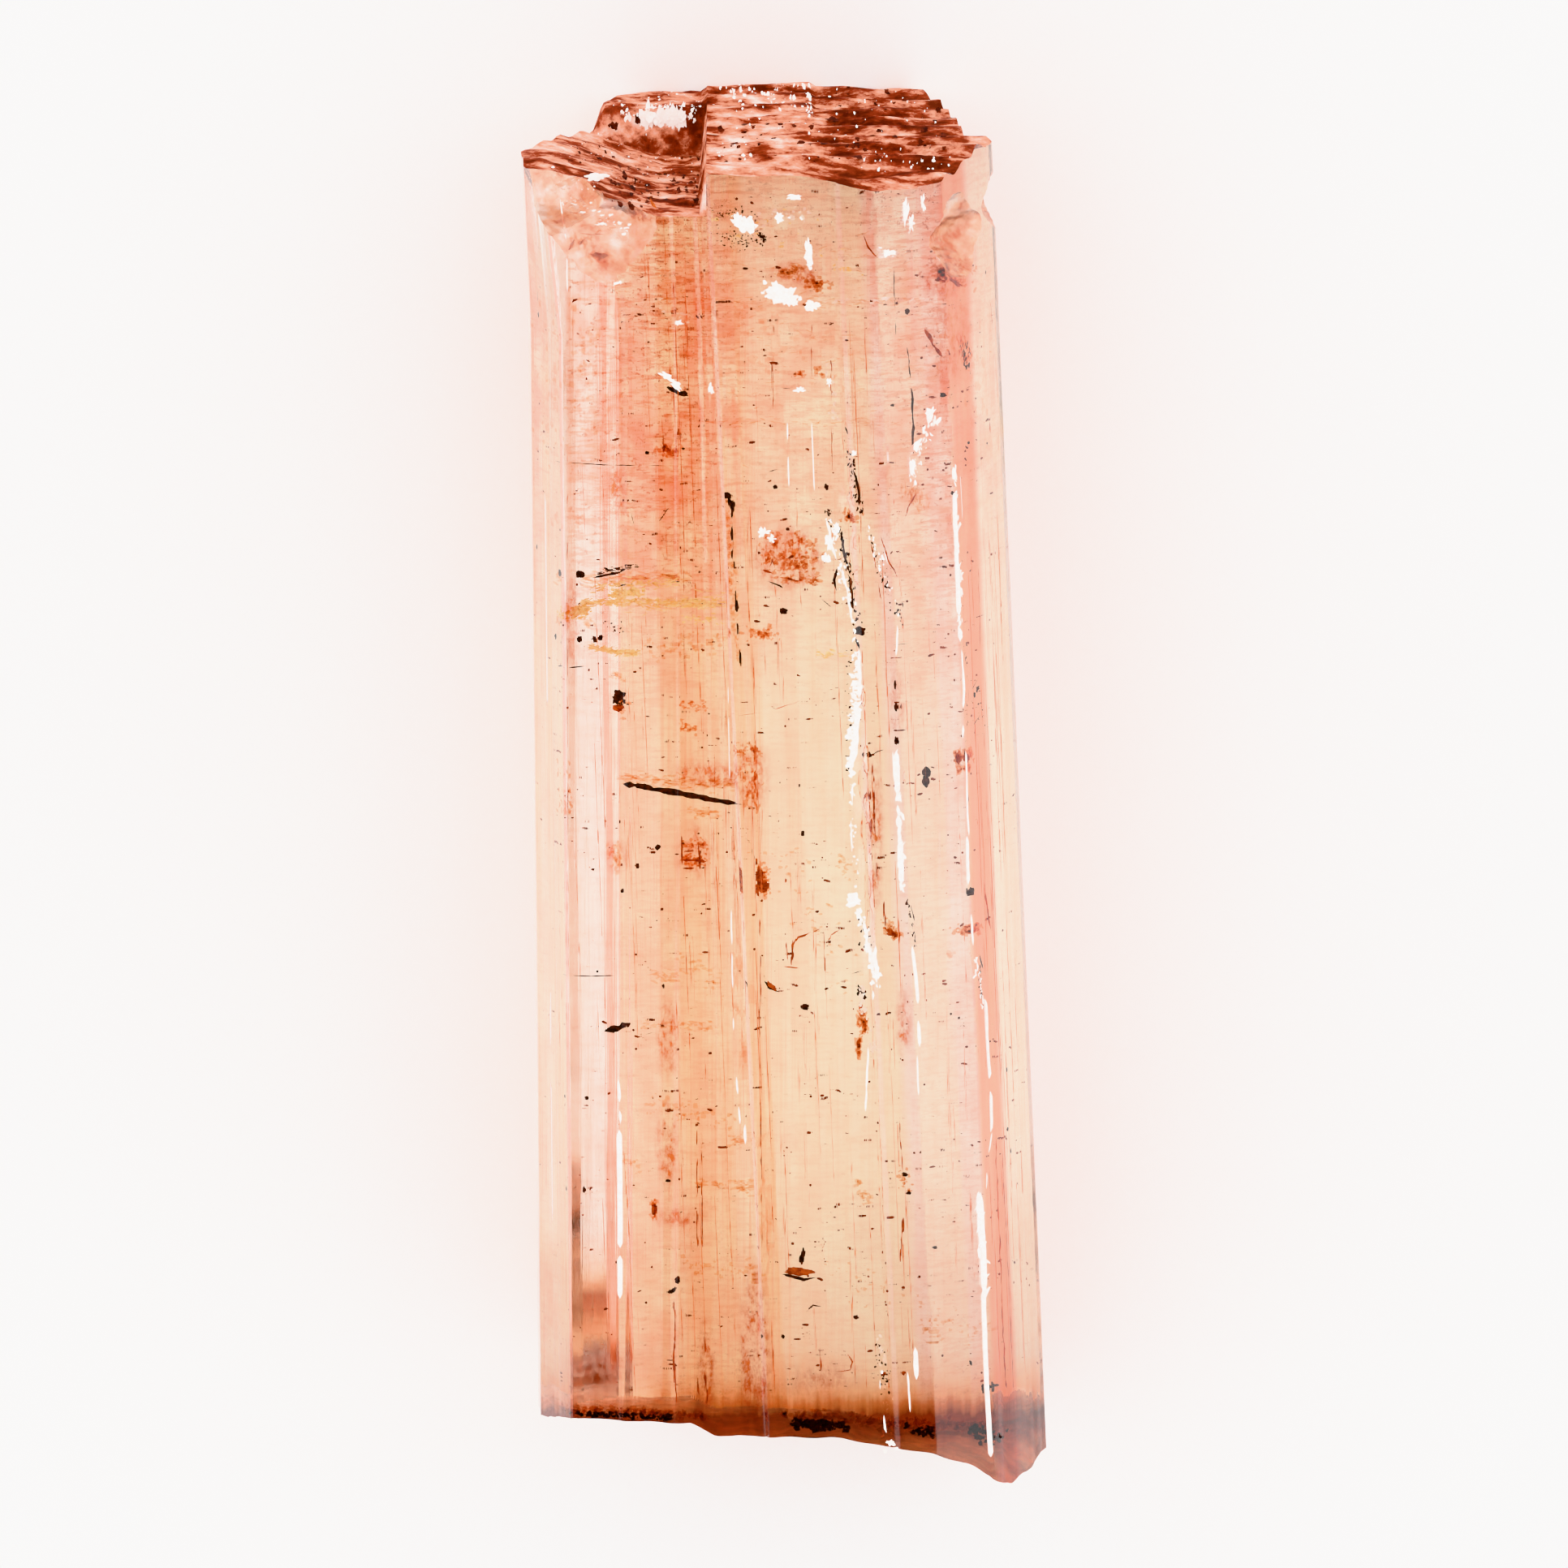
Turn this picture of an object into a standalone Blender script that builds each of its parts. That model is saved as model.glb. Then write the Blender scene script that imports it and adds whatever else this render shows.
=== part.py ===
"""Imperial topaz crystal: one striated prism, broken across at both ends, lying on its back face.

The crystal's length runs along Y, with the stepped head break at +Y and the slanting foot break at -Y.
The broad front face looks up (+Z), and the flat back face rests on the ground at Z = 0.
The origin is the middle of its footprint. Sizes below are in millimetres, and the model is in metres.
"""

import math
import random

import bmesh
import bpy
from mathutils import Vector, noise

MM = 0.001

# Driving sizes of the prism
SHAFT_LENGTH = 32.17     # from the foot break's left front corner to the head break's plateau
COLLAR = 28.0            # above this height the left corners flare out a little
OVERRUN = 4.0            # how far the uncut prism runs past either break

# Corners of the cross section, clockwise from the left rim as seen from the foot end:
# name, then (x, z) at the foot, then (x, z) where the straight shaft would reach the head,
# then how far the collar pushes the corner out along x by the head
CORNERS = (
    ("left_rim", (-5.92, 4.95), (-6.10, 4.90), -0.15),
    ("left_shoulder", (-5.84, 6.50), (-6.02, 6.30), -0.15),
    ("left_front", (-5.01, 8.40), (-5.24, 8.20), -0.40),
    ("joint_left", (-0.21, 8.40), (-1.65, 8.20), 0.0),
    ("joint_right", (-0.13, 8.52), (-1.57, 8.32), 0.0),
    ("right_front", (4.09, 8.52), (2.49, 8.32), 0.0),
    ("right_bevel", (5.48, 7.97), (4.12, 7.72), 0.0),
    ("right_shoulder", (6.00, 7.10), (4.62, 6.90), 0.0),
    ("right_rim", (6.79, 5.50), (5.39, 5.20), 0.0),
    ("right_notch", (6.12, 4.75), (4.70, 4.45), 0.0),
    ("right_back", (5.86, 2.85), (4.46, 2.70), 0.0),
    ("right_ankle", (5.55, 1.25), (4.16, 1.20), 0.0),
    ("right_heel", (5.10, 0.32), (3.74, 0.30), 0.0),
    ("rest_right", (4.60, 0.00), (3.25, 0.00), 0.0),
    ("rest_left", (-2.70, 0.00), (-3.00, 0.00), 0.0),
    ("left_heel", (-3.60, 0.47), (-3.85, 0.45), 0.0),
)
JOINT = 3                # the corner where the two grown-together halves of the prism meet
PLAIN_FACES = ("joint_left", "rest_right")   # faces with no growth steps, named by their first corner

# Growth steps along the prism faces. Each tread of the two front faces is given by the share of the
# face's width where it starts, at the foot and at the head, and its height off the face.
FRONT_TREADS = {
    "left_front": ((0.0, 0.0, -0.02), (0.25, 0.44, 0.045), (0.53, 0.78, -0.035), (0.80, 0.92, 0.03)),
    "joint_right": ((0.0, 0.0, 0.02), (0.09, 0.09, -0.025), (0.70, 0.70, -0.075), (0.76, 0.77, 0.03)),
}
STEP_PITCH = 0.85        # mean width of a tread on the other faces
STEP_RISER = 0.05        # width of the slope between two treads
STEP_HEIGHT = 0.055      # greatest height of a tread above or below its face
STEP_SEED = 11

# Head break
PLATEAU_SAG = 0.42       # how far the right-hand plateau sags towards its front edge
TERRACE_DEPTH = 1.25     # how far the left-hand terrace lies below the plateau beside the joint
TERRACE_FRONT_RISE = 0.18    # how much of that it gains by the front face
TERRACE_LEFT_RISE = 0.82     # and by the left rim
BACK_LEDGE_DEPTH = 0.12
BACK_LEDGE_Z = 1.60      # the ledge behind the terrace ends at this height above the ground
BACK_LEDGE_X = -4.35     # and at this place on the left
RIPPLE_PITCH = 0.95      # spacing of the ridges across the plateau
RIPPLE_HEIGHT = 0.085
GRAIN_HEIGHT = 0.07

# Foot break: (x, how far the front edge reaches below the left front corner)
FOOT_EDGE = (
    (-6.4, 0.45), (-5.9, 0.33), (-5.0, 0.0), (-2.05, 0.16), (-1.45, 0.48), (1.70, 0.50), (2.75, 0.74),
    (4.0, 0.94), (4.85, 1.26), (5.9, 1.98), (6.3, 1.78), (6.9, 1.30),
)
FOOT_TILT = 1.05         # how much further the back edge reaches
FOOT_HOLLOW = 0.35       # how far the middle of the foot break is hollowed out
FOOT_HOLLOW_AT = (-0.6, 3.8)
FOOT_HOLLOW_RADIUS = 4.0

# Grid of the break surfaces
BREAK_HALF_WIDTH = 8.0
BREAK_TOP_Z = 9.2
BREAK_BASE_Z = -0.8
BREAK_COLUMNS = 34
BREAK_ROWS = 42

# Shell-shaped chips: name, centre (x, y, z) and radii (x, y, z)
CHIPS = (
    ("chip_left_corner", (-5.25, 32.3, 9.30), (1.45, 1.90, 2.90)),
    ("chip_left_front", (-4.20, 30.9, 10.40), (2.10, 2.40, 2.66)),
    ("chip_right_corner", (6.25, 30.3, 7.80), (2.30, 1.65, 1.95)),
    ("chip_right_spur", (6.95, 30.7, 5.50), (1.82, 1.25, 1.70)),
    ("chip_right_rim", (6.45, 22.9, 5.85), (0.62, 1.10, 0.80)),
)
CHIP_RIPPLE = 0.030

TOPAZ_COLOUR = (0.96, 0.50, 0.28, 1.0)
TOPAZ_IOR = 1.62


def clear_scene():
    for obj in list(bpy.data.objects):
        bpy.data.objects.remove(obj, do_unlink=True)


def new_collection(name):
    collection = bpy.data.collections.new(name)
    bpy.context.scene.collection.children.link(collection)
    return collection


def add_object(name, bm, collection):
    mesh = bpy.data.meshes.new(name)
    bmesh.ops.recalc_face_normals(bm, faces=bm.faces)
    bm.to_mesh(mesh)
    bm.free()
    obj = bpy.data.objects.new(name, mesh)
    collection.objects.link(obj)
    return obj


def mix(a, b, share):
    return a + (b - a) * share


def smooth(low, high, value):
    """0 below low, 1 above high, and an even curve between."""
    share = min(1.0, max(0.0, (value - low) / (high - low)))
    return share * share * (3 - 2 * share)


def grain(x, z, size, seed):
    """Even noise from -1 to 1, with lumps about size across."""
    return noise.noise(Vector((x / size, z / size, seed)))


def corner_at(index, y):
    """A corner of the section at a height y along the shaft."""
    _, foot, head, flare = CORNERS[index % len(CORNERS)]
    share = y / SHAFT_LENGTH
    pushed = flare * max(0.0, y - COLLAR) / (SHAFT_LENGTH - COLLAR)
    return Vector((mix(foot[0], head[0], share) + pushed, mix(foot[1], head[1], share)))


def treads(name, width, rng):
    """The growth steps of one face, as (start share at the foot, start share at the head, height)."""
    if name in FRONT_TREADS:
        return FRONT_TREADS[name]
    if name in PLAIN_FACES or width < 2 * STEP_PITCH:
        return ()
    count = round(width / STEP_PITCH)
    starts = [0.0] + sorted(rng.uniform(0.08, 0.92) for _ in range(count - 1))
    return [(start, start, rng.uniform(-1, 1) * STEP_HEIGHT) for start in starts]


def section_plan():
    """The outline's points, as (corner index, share of the way to the next at foot and head, height)."""
    rng = random.Random(STEP_SEED)
    plan = []
    for index, (name, foot, _, _) in enumerate(CORNERS):
        width = (Vector(CORNERS[(index + 1) % len(CORNERS)][1]) - Vector(foot)).length
        plan.append((index, 0.0, 0.0, 0.0))
        riser = STEP_RISER / width
        steps = treads(name, width, rng)
        for step, (low, high, height) in enumerate(steps):
            low_end, high_end = steps[step + 1][:2] if step + 1 < len(steps) else (1.0, 1.0)
            if low_end - low > 3 * riser and high_end - high > 3 * riser:
                plan.append((index, low + riser, high + riser, height))
                plan.append((index, low_end - riser, high_end - riser, height))
    return plan


def section_points(plan, y):
    """The outline at a height y along the shaft."""
    points = []
    for index, low, high, height in plan:
        start, end = corner_at(index, y), corner_at(index + 1, y)
        along = (end - start).normalized()
        outward = Vector((-along.y, along.x))
        points.append(start.lerp(end, mix(low, high, y / SHAFT_LENGTH)) + outward * height)
    return points


def make_prism(collection):
    """The uncut prism: the foot outline as one face, extruded to the collar and on past the head."""
    plan = section_plan()
    bm = bmesh.new()
    ring = [bm.verts.new((p.x * MM, -OVERRUN * MM, p.y * MM)) for p in section_points(plan, -OVERRUN)]
    bm.faces.new(ring)
    edges = [bm.edges.get((a, b)) for a, b in zip(ring, ring[1:] + ring[:1])]
    for y in (COLLAR, SHAFT_LENGTH + OVERRUN):
        places = {tuple(v.co): p for v, p in zip(ring, section_points(plan, y))}
        grown = bmesh.ops.extrude_edge_only(bm, edges=edges)["geom"]
        fresh = {tuple(v.co): v for v in grown if isinstance(v, bmesh.types.BMVert)}
        ring = [fresh[tuple(v.co)] for v in ring]
        for vert in ring:
            point = places[tuple(vert.co)]
            vert.co = (point.x * MM, y * MM, point.y * MM)
        edges = [bm.edges.get((a, b)) for a, b in zip(ring, ring[1:] + ring[:1])]
    bmesh.ops.contextual_create(bm, geom=edges)
    return add_object("crystal", bm, collection)


def head_level(x, z):
    """Height of the head break along the shaft at a point of the section."""
    joint = corner_at(JOINT, SHAFT_LENGTH).x
    ripples = math.sin(2 * math.pi * (z + 0.45 * grain(x, z, 2.6, 3.0)) / RIPPLE_PITCH)
    if x > joint:
        sag = PLATEAU_SAG * smooth(0.2, 2.6, x) * smooth(6.0, 8.3, z)
        return SHAFT_LENGTH - sag + RIPPLE_HEIGHT * ripples + GRAIN_HEIGHT * grain(x, z, 1.1, 5.0)
    terrace = TERRACE_DEPTH - TERRACE_FRONT_RISE * smooth(2.0, 8.0, z) - TERRACE_LEFT_RISE * smooth(-2.6, -5.8, x)
    on_ledge = (1 - smooth(BACK_LEDGE_Z - 0.1, BACK_LEDGE_Z + 0.1, z)) * smooth(
        BACK_LEDGE_X - 0.2, BACK_LEDGE_X + 0.2, x
    )
    depth = mix(terrace, BACK_LEDGE_DEPTH, on_ledge)
    return SHAFT_LENGTH - depth + 0.5 * RIPPLE_HEIGHT * ripples + GRAIN_HEIGHT * grain(x, z, 0.9, 9.0)


def foot_edge(x):
    """How far the foot's front edge reaches below its left front corner."""
    if x <= FOOT_EDGE[0][0]:
        return FOOT_EDGE[0][1]
    for (x0, low), (x1, high) in zip(FOOT_EDGE, FOOT_EDGE[1:]):
        if x <= x1:
            return mix(low, high, (x - x0) / (x1 - x0))
    return FOOT_EDGE[-1][1]


def foot_level(x, z):
    """Height of the foot break along the shaft at a point of the section. Most of it lies below 0."""
    fall = foot_edge(x) + FOOT_TILT * (1 - z / 8.4)
    away = math.hypot(x - FOOT_HOLLOW_AT[0], z - FOOT_HOLLOW_AT[1])
    hollow = FOOT_HOLLOW * (1 - smooth(0.0, FOOT_HOLLOW_RADIUS, away))
    shell = 0.05 * math.sin(2 * math.pi * math.hypot(x - 6.4, z - 8.4) / 1.15)
    inside = 1 - smooth(7.2, 8.2, z)
    return hollow - fall + (shell + GRAIN_HEIGHT * grain(x, z, 1.3, 2.0)) * mix(0.3, 1.0, inside)


def grid_lines(low, high, count, kept):
    """Evenly spaced lines, of which the nearest free ones are moved onto the places in kept."""
    lines = [mix(low, high, i / count) for i in range(count + 1)]
    free = list(range(1, count))
    for place in kept:
        nearest = min(free, key=lambda i: abs(lines[i] - place))
        free.remove(nearest)
        lines[nearest] = place
    return sorted(lines)


def make_break(name, level, far_y, kept_x, kept_z, collection):
    """A block that cuts off one end: a grid shaped by level(x, z), extruded away to far_y."""
    columns = grid_lines(-BREAK_HALF_WIDTH, BREAK_HALF_WIDTH, BREAK_COLUMNS, kept_x)
    rows = grid_lines(BREAK_BASE_Z, BREAK_TOP_Z, BREAK_ROWS, kept_z)
    bm = bmesh.new()
    bmesh.ops.create_grid(bm, x_segments=BREAK_COLUMNS, y_segments=BREAK_ROWS, size=1.0)
    for vert in bm.verts:
        x = columns[round((vert.co.x + 1) / 2 * BREAK_COLUMNS)]
        z = rows[round((vert.co.y + 1) / 2 * BREAK_ROWS)]
        vert.co = (x * MM, level(x, z) * MM, z * MM)
    far = bmesh.ops.extrude_face_region(bm, geom=bm.faces[:], use_keep_orig=True)
    for vert in (v for v in far["geom"] if isinstance(v, bmesh.types.BMVert)):
        vert.co.y = far_y * MM
    bmesh.ops.triangulate(bm, faces=bm.faces[:])
    return add_object(name, bm, collection)


def make_chip(name, centre, radii, collection):
    """A rippled ellipsoid, which leaves a shell-shaped scar."""
    bm = bmesh.new()
    bmesh.ops.create_icosphere(bm, subdivisions=4, radius=1.0)
    for vert in bm.verts:
        way = vert.co.copy()
        swell = 1 + CHIP_RIPPLE * math.sin(9 * math.acos(max(-1.0, min(1.0, way.y))))
        swell += 0.05 * noise.noise(way * 2.3 + Vector(centre))
        vert.co = Vector(c + w * r * swell for c, w, r in zip(centre, way, radii)) * MM
    return add_object(name, bm, collection)


def cut(target, cutter):
    modifier = target.modifiers.new(cutter.name, "BOOLEAN")
    modifier.operation = "DIFFERENCE"
    modifier.solver = "EXACT"
    modifier.object = cutter
    cutter.hide_render = True
    cutter.display_type = "WIRE"


def settle_on_origin(obj):
    """Makes the cut shape the object's own mesh, with its origin at the middle of its footprint."""
    bpy.context.view_layer.update()
    graph = bpy.context.evaluated_depsgraph_get()
    mesh = bpy.data.meshes.new_from_object(obj.evaluated_get(graph))
    obj.modifiers.clear()
    obj.data = mesh
    xs, ys, zs = zip(*(v.co for v in mesh.vertices))
    middle = Vector(((min(xs) + max(xs)) / 2, (min(ys) + max(ys)) / 2, min(zs)))
    for vert in mesh.vertices:
        vert.co -= middle


def topaz_material():
    material = bpy.data.materials.new("topaz")
    material.use_nodes = True
    shader = material.node_tree.nodes["Principled BSDF"]
    shader.inputs["Base Color"].default_value = TOPAZ_COLOUR
    shader.inputs["Roughness"].default_value = 0.04
    shader.inputs["Metallic"].default_value = 0.0
    shader.inputs["IOR"].default_value = TOPAZ_IOR
    shader.inputs["Transmission Weight"].default_value = 0.8
    material.diffuse_color = TOPAZ_COLOUR
    return material


def main():
    clear_scene()
    parts = new_collection("imperial_topaz_crystal")
    cutters = new_collection("cutters")
    crystal = make_prism(parts)
    joint_x = corner_at(JOINT, SHAFT_LENGTH).x
    head = make_break(
        "head_break", head_level, SHAFT_LENGTH + 2 * OVERRUN,
        (joint_x - 0.02, joint_x + 0.02), (BACK_LEDGE_Z - 0.1, BACK_LEDGE_Z + 0.1), cutters,
    )
    foot = make_break("foot_break", foot_level, -2 * OVERRUN, (-2.05, -1.45), (), cutters)
    chips = [make_chip(name, centre, radii, cutters) for name, centre, radii in CHIPS]
    for cutter in (head, foot, *chips):
        cut(crystal, cutter)
    settle_on_origin(crystal)
    crystal.data.materials.clear()
    crystal.data.materials.append(topaz_material())


main()
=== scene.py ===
"""Imperial topaz crystal, lying on a pale floor and seen from above at the photograph's angle.

The crystal is modelled again here with fine striations, rough breaks, chips and inclusions, in place of the
plainer CAD solid. Sizes are in millimetres in the shaft's own frame: x to the right, y up the shaft from the
foot, z up from the ground. place() turns them into metres in the shared frame.
"""
import math
import random

import bmesh
import bpy
from mathutils import Matrix, Vector, noise
from mathutils.geometry import delaunay_2d_cdt


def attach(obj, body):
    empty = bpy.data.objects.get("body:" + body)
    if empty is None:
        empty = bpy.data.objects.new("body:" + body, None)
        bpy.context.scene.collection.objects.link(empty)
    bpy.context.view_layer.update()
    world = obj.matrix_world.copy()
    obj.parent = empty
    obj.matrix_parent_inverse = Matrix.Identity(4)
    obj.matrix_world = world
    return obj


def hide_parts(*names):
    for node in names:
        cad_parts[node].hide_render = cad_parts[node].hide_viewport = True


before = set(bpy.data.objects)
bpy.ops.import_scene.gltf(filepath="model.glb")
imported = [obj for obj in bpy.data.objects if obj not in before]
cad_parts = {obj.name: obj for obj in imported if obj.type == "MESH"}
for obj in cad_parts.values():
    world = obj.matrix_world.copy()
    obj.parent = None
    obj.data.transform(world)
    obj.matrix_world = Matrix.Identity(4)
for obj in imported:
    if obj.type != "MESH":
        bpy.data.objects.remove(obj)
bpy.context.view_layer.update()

MM = 0.001
MIDDLE = Vector((0.3156, 14.8028, 0.0))   # the shared frame's origin, in the shaft's frame

# Prism: the CAD solid's corners and breaks, and softer treads on the front faces. Each corner has a name, its
# (x, z) at the foot and at the head, and how far it flares out between the collar and the head.
SHAFT_LENGTH = 32.17
COLLAR = 28.0
CORNERS = (
    ("left_rim", (-5.92, 4.95), (-6.10, 4.90), -0.15),
    ("left_shoulder", (-5.84, 6.50), (-6.02, 6.30), -0.15),
    ("left_front", (-5.01, 8.40), (-5.24, 8.20), -0.40),
    ("joint_left", (-0.21, 8.40), (-1.65, 8.20), 0.0),
    ("joint_right", (-0.13, 8.52), (-1.57, 8.32), 0.0),
    ("right_front", (4.09, 8.52), (2.49, 8.32), 0.0),
    ("right_bevel", (5.48, 7.97), (4.12, 7.72), 0.0),
    ("right_shoulder", (6.00, 7.10), (4.62, 6.90), 0.0),
    ("right_rim", (6.79, 5.50), (5.39, 5.20), 0.0),
    ("right_notch", (6.12, 4.75), (4.70, 4.45), 0.0),
    ("right_back", (5.86, 2.85), (4.46, 2.70), 0.0),
    ("right_ankle", (5.55, 1.25), (4.16, 1.20), 0.0),
    ("right_heel", (5.10, 0.32), (3.74, 0.30), 0.0),
    ("rest_right", (4.60, 0.00), (3.25, 0.00), 0.0),
    ("rest_left", (-2.70, 0.00), (-3.00, 0.00), 0.0),
    ("left_heel", (-3.60, 0.47), (-3.85, 0.45), 0.0),
)
JOINT = 3
RIGHT_RIM = 8
PLAIN_FACES = ("joint_left", "rest_right")
FRONT_FACES = (
    "left_shoulder", "left_front", "joint_left", "joint_right", "right_front", "right_bevel",
    "right_shoulder",
)
# Treads along the front faces: share of the face's width at the foot and at the head, and height
FRONT_TREADS = {
    "left_front": ((0.0, 0.0, -0.010), (0.25, 0.44, 0.014), (0.53, 0.78, -0.010), (0.80, 0.92, 0.012)),
    "joint_right": ((0.0, 0.0, 0.010), (0.09, 0.09, -0.012), (0.70, 0.70, -0.024), (0.76, 0.77, 0.012)),
}
STEP_PITCH = 0.85
STEP_RISER = 0.05
STEP_HEIGHT = 0.055
STEP_SEED = 11

PLATEAU_SAG = 0.42
TERRACE_DEPTH = 1.25
TERRACE_FRONT_RISE = 0.18
TERRACE_LEFT_RISE = 0.82
BACK_LEDGE_DEPTH = 0.12
BACK_LEDGE_Z = 1.60
BACK_LEDGE_X = -4.35
RIPPLE_PITCH = 0.95
RIPPLE_HEIGHT = 0.085
GRAIN_HEIGHT = 0.07

FOOT_EDGE = (
    (-6.4, 0.45), (-5.9, 0.33), (-5.0, 0.0), (-2.05, 0.16), (-1.45, 0.48), (1.70, 0.50), (2.75, 0.74),
    (4.0, 0.94), (4.85, 1.26), (5.9, 1.98), (6.3, 1.78), (6.9, 1.30),
)
FOOT_TILT = 1.05
FOOT_HOLLOW = 0.35
FOOT_HOLLOW_AT = (-0.6, 3.8)
FOOT_HOLLOW_RADIUS = 4.0

CHIPS = (
    ("chip_left_corner", (-5.25, 32.3, 9.30), (1.45, 1.90, 2.90)),
    ("chip_left_front", (-4.20, 30.9, 10.40), (2.10, 2.40, 2.66)),
    ("chip_right_corner", (6.25, 30.3, 7.80), (2.30, 1.65, 1.95)),
    ("chip_right_spur", (6.95, 30.7, 5.50), (1.82, 1.25, 1.70)),
    ("chip_right_rim", (6.45, 22.9, 5.85), (0.62, 1.10, 0.80)),
)

# Fine relief
RINGS = 210              # rings of points from the foot to the head
FRONT_SPACING = 0.085    # between outline points on the faces that the camera sees
BACK_SPACING = 0.20      # and on the others
BREAK_SPACING = 0.125    # between points on the two breaks
LINE_DEPTH = 0.010       # greatest height of a striation
SWELL = 0.010            # slow swell of the faces
SEED = 4

# Camera, as the photograph was framed
PHOTO_SIZE = 1932.0
CAMERA_TILT = math.radians(17.0)      # from straight down, towards the head
CAMERA_DISTANCE = 500.0
CAMERA_LENS = 463.6
SENSOR = 36.0
AIM = Vector((0.2656, 16.5028, 8.2))  # the point at the middle of the photograph
TOPAZ_IOR = 1.62
PIXELS_ACROSS = 49.8                  # of the photograph, per millimetre on the front face
PIXELS_ALONG = 47.8
STREAK_PIXELS = 49.0                  # the same for a thread, whichever way it runs


def place(point):
    """From millimetres in the shaft's frame to metres in the shared frame."""
    return (Vector(point) - MIDDLE) * MM


def mix(a, b, share):
    return a + (b - a) * share


def smooth(low, high, value):
    share = min(1.0, max(0.0, (value - low) / (high - low)))
    return share * share * (3 - 2 * share)


def new_object(name, bm):
    """A new object in the scene, from a mesh under construction that is then freed."""
    mesh = bpy.data.meshes.new(name)
    bm.to_mesh(mesh)
    bm.free()
    made = bpy.data.objects.new(name, mesh)
    bpy.context.scene.collection.objects.link(made)
    return made


def long_grain(x, z, width, depth, seed):
    return noise.noise(Vector((x / width, z / depth, seed)))


def grain(x, z, size, seed):
    return long_grain(x, z, size, size, seed)


# Sight lines through the photograph

AWAY = Vector((0.0, math.sin(CAMERA_TILT), math.cos(CAMERA_TILT)))
RIGHT = Vector((1.0, 0.0, 0.0))
UP = AWAY.cross(RIGHT)
EYE = AIM + AWAY * CAMERA_DISTANCE


def sight(px, py):
    """The direction of the sight line through a pixel of the photograph."""
    across = (px / PHOTO_SIZE - 0.5) * SENSOR / CAMERA_LENS
    upward = (0.5 - py / PHOTO_SIZE) * SENSOR / CAMERA_LENS
    return (RIGHT * across + UP * upward - AWAY).normalized()


# Shape of the crystal

def corner_at(index, y):
    _, foot, head, flare = CORNERS[index % len(CORNERS)]
    share = y / SHAFT_LENGTH
    pushed = flare * max(0.0, y - COLLAR) / (SHAFT_LENGTH - COLLAR)
    return Vector((mix(foot[0], head[0], share) + pushed, mix(foot[1], head[1], share)))


def skin_z(x, y):
    """Height of the crystal's upper surface above the ground."""
    corners = [corner_at(index, y) for index in range(RIGHT_RIM + 1)]
    z = corners[0].y if x < corners[0].x else corners[-1].y
    for index, (left, right) in enumerate(zip(corners, corners[1:])):
        if left.x <= x <= right.x:
            share = (x - left.x) / (right.x - left.x)
            z = mix(left.y, right.y, share)
            for low, high, height in FRONT_TREADS.get(CORNERS[index][0], ()):
                if share >= mix(low, high, y / SHAFT_LENGTH):
                    tread = height
            z += tread if CORNERS[index][0] in FRONT_TREADS else 0.0
    for _, centre, radii in CHIPS:
        away = ((x - centre[0]) / radii[0]) ** 2 + ((y - centre[1]) / radii[1]) ** 2
        if away < 1:
            z = min(z, centre[2] - radii[2] * math.sqrt(1 - away))
    return z


def on_front(px, py, above=0.0):
    """Where the sight line through a pixel meets the upper surface."""
    way, z = sight(px, py), 8.35
    for _ in range(3):
        point = EYE + way * ((z - EYE.z) / way.z)
        z = skin_z(point.x, point.y) + above
    return EYE + way * ((z - EYE.z) / way.z)


def inside(px, py, depth):
    """The point that shows at a pixel through the front face, depth below it."""
    way, start = sight(px, py), on_front(px, py)
    flat = Vector((way.x, way.y, 0.0)) / TOPAZ_IOR
    bent = flat + Vector((0.0, 0.0, -math.sqrt(1 - flat.length_squared)))
    return start + bent * (depth / -bent.z)


SHORT_EDGE = 0.3         # edges of the outline that are shorter don't bound the section
MIDDLE_HEIGHT = 4.5
BREAK_TOP = 8.4
BREAK_STEP = 0.05
BREAK_STEPS = 170
RIM_MARGIN = 0.12


def within_section(x, z, margin):
    """Whether a point of the head's section is inside the outline by at least margin."""
    corners = [corner_at(index, SHAFT_LENGTH) for index in range(len(CORNERS))]
    return all(
        (end - start).normalized().cross(Vector((x, z)) - start) < -margin
        for start, end in zip(corners, corners[1:] + corners[:1])
        if (end - start).length > SHORT_EDGE and (end.x - start.x) * (start.y - MIDDLE_HEIGHT) >= 0
    )


def on_break(px, py):
    """Where the sight line through a pixel meets the head break, away from its rim."""
    way = sight(px, py)
    for step in range(BREAK_STEPS):
        z = BREAK_TOP - BREAK_STEP * step
        point = EYE + way * ((z - EYE.z) / way.z)
        if point.y <= head_level(point.x, point.z):
            return point if within_section(point.x, point.z, RIM_MARGIN) else None
    return None


def treads(name, width, rng):
    if name in FRONT_TREADS:
        return FRONT_TREADS[name]
    if name in PLAIN_FACES or width < 2 * STEP_PITCH:
        return ()
    count = round(width / STEP_PITCH)
    starts = [0.0] + sorted(rng.uniform(0.08, 0.92) for _ in range(count - 1))
    return [(start, start, rng.uniform(-1, 1) * STEP_HEIGHT) for start in starts]


def section_plan():
    """The outline's main points, as (corner index, share at the foot, share at the head, height)."""
    rng = random.Random(STEP_SEED)
    plan = []
    for index, (name, foot, _, _) in enumerate(CORNERS):
        width = (Vector(CORNERS[(index + 1) % len(CORNERS)][1]) - Vector(foot)).length
        plan.append((index, 0.0, 0.0, 0.0))
        riser = STEP_RISER / width
        steps = treads(name, width, rng)
        for step, (low, high, height) in enumerate(steps):
            low_end, high_end = steps[step + 1][:2] if step + 1 < len(steps) else (1.0, 1.0)
            if low_end - low > 3 * riser and high_end - high > 3 * riser:
                plan.append((index, low + riser, high + riser, height))
                plan.append((index, low_end - riser, high_end - riser, height))
    return plan


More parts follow.
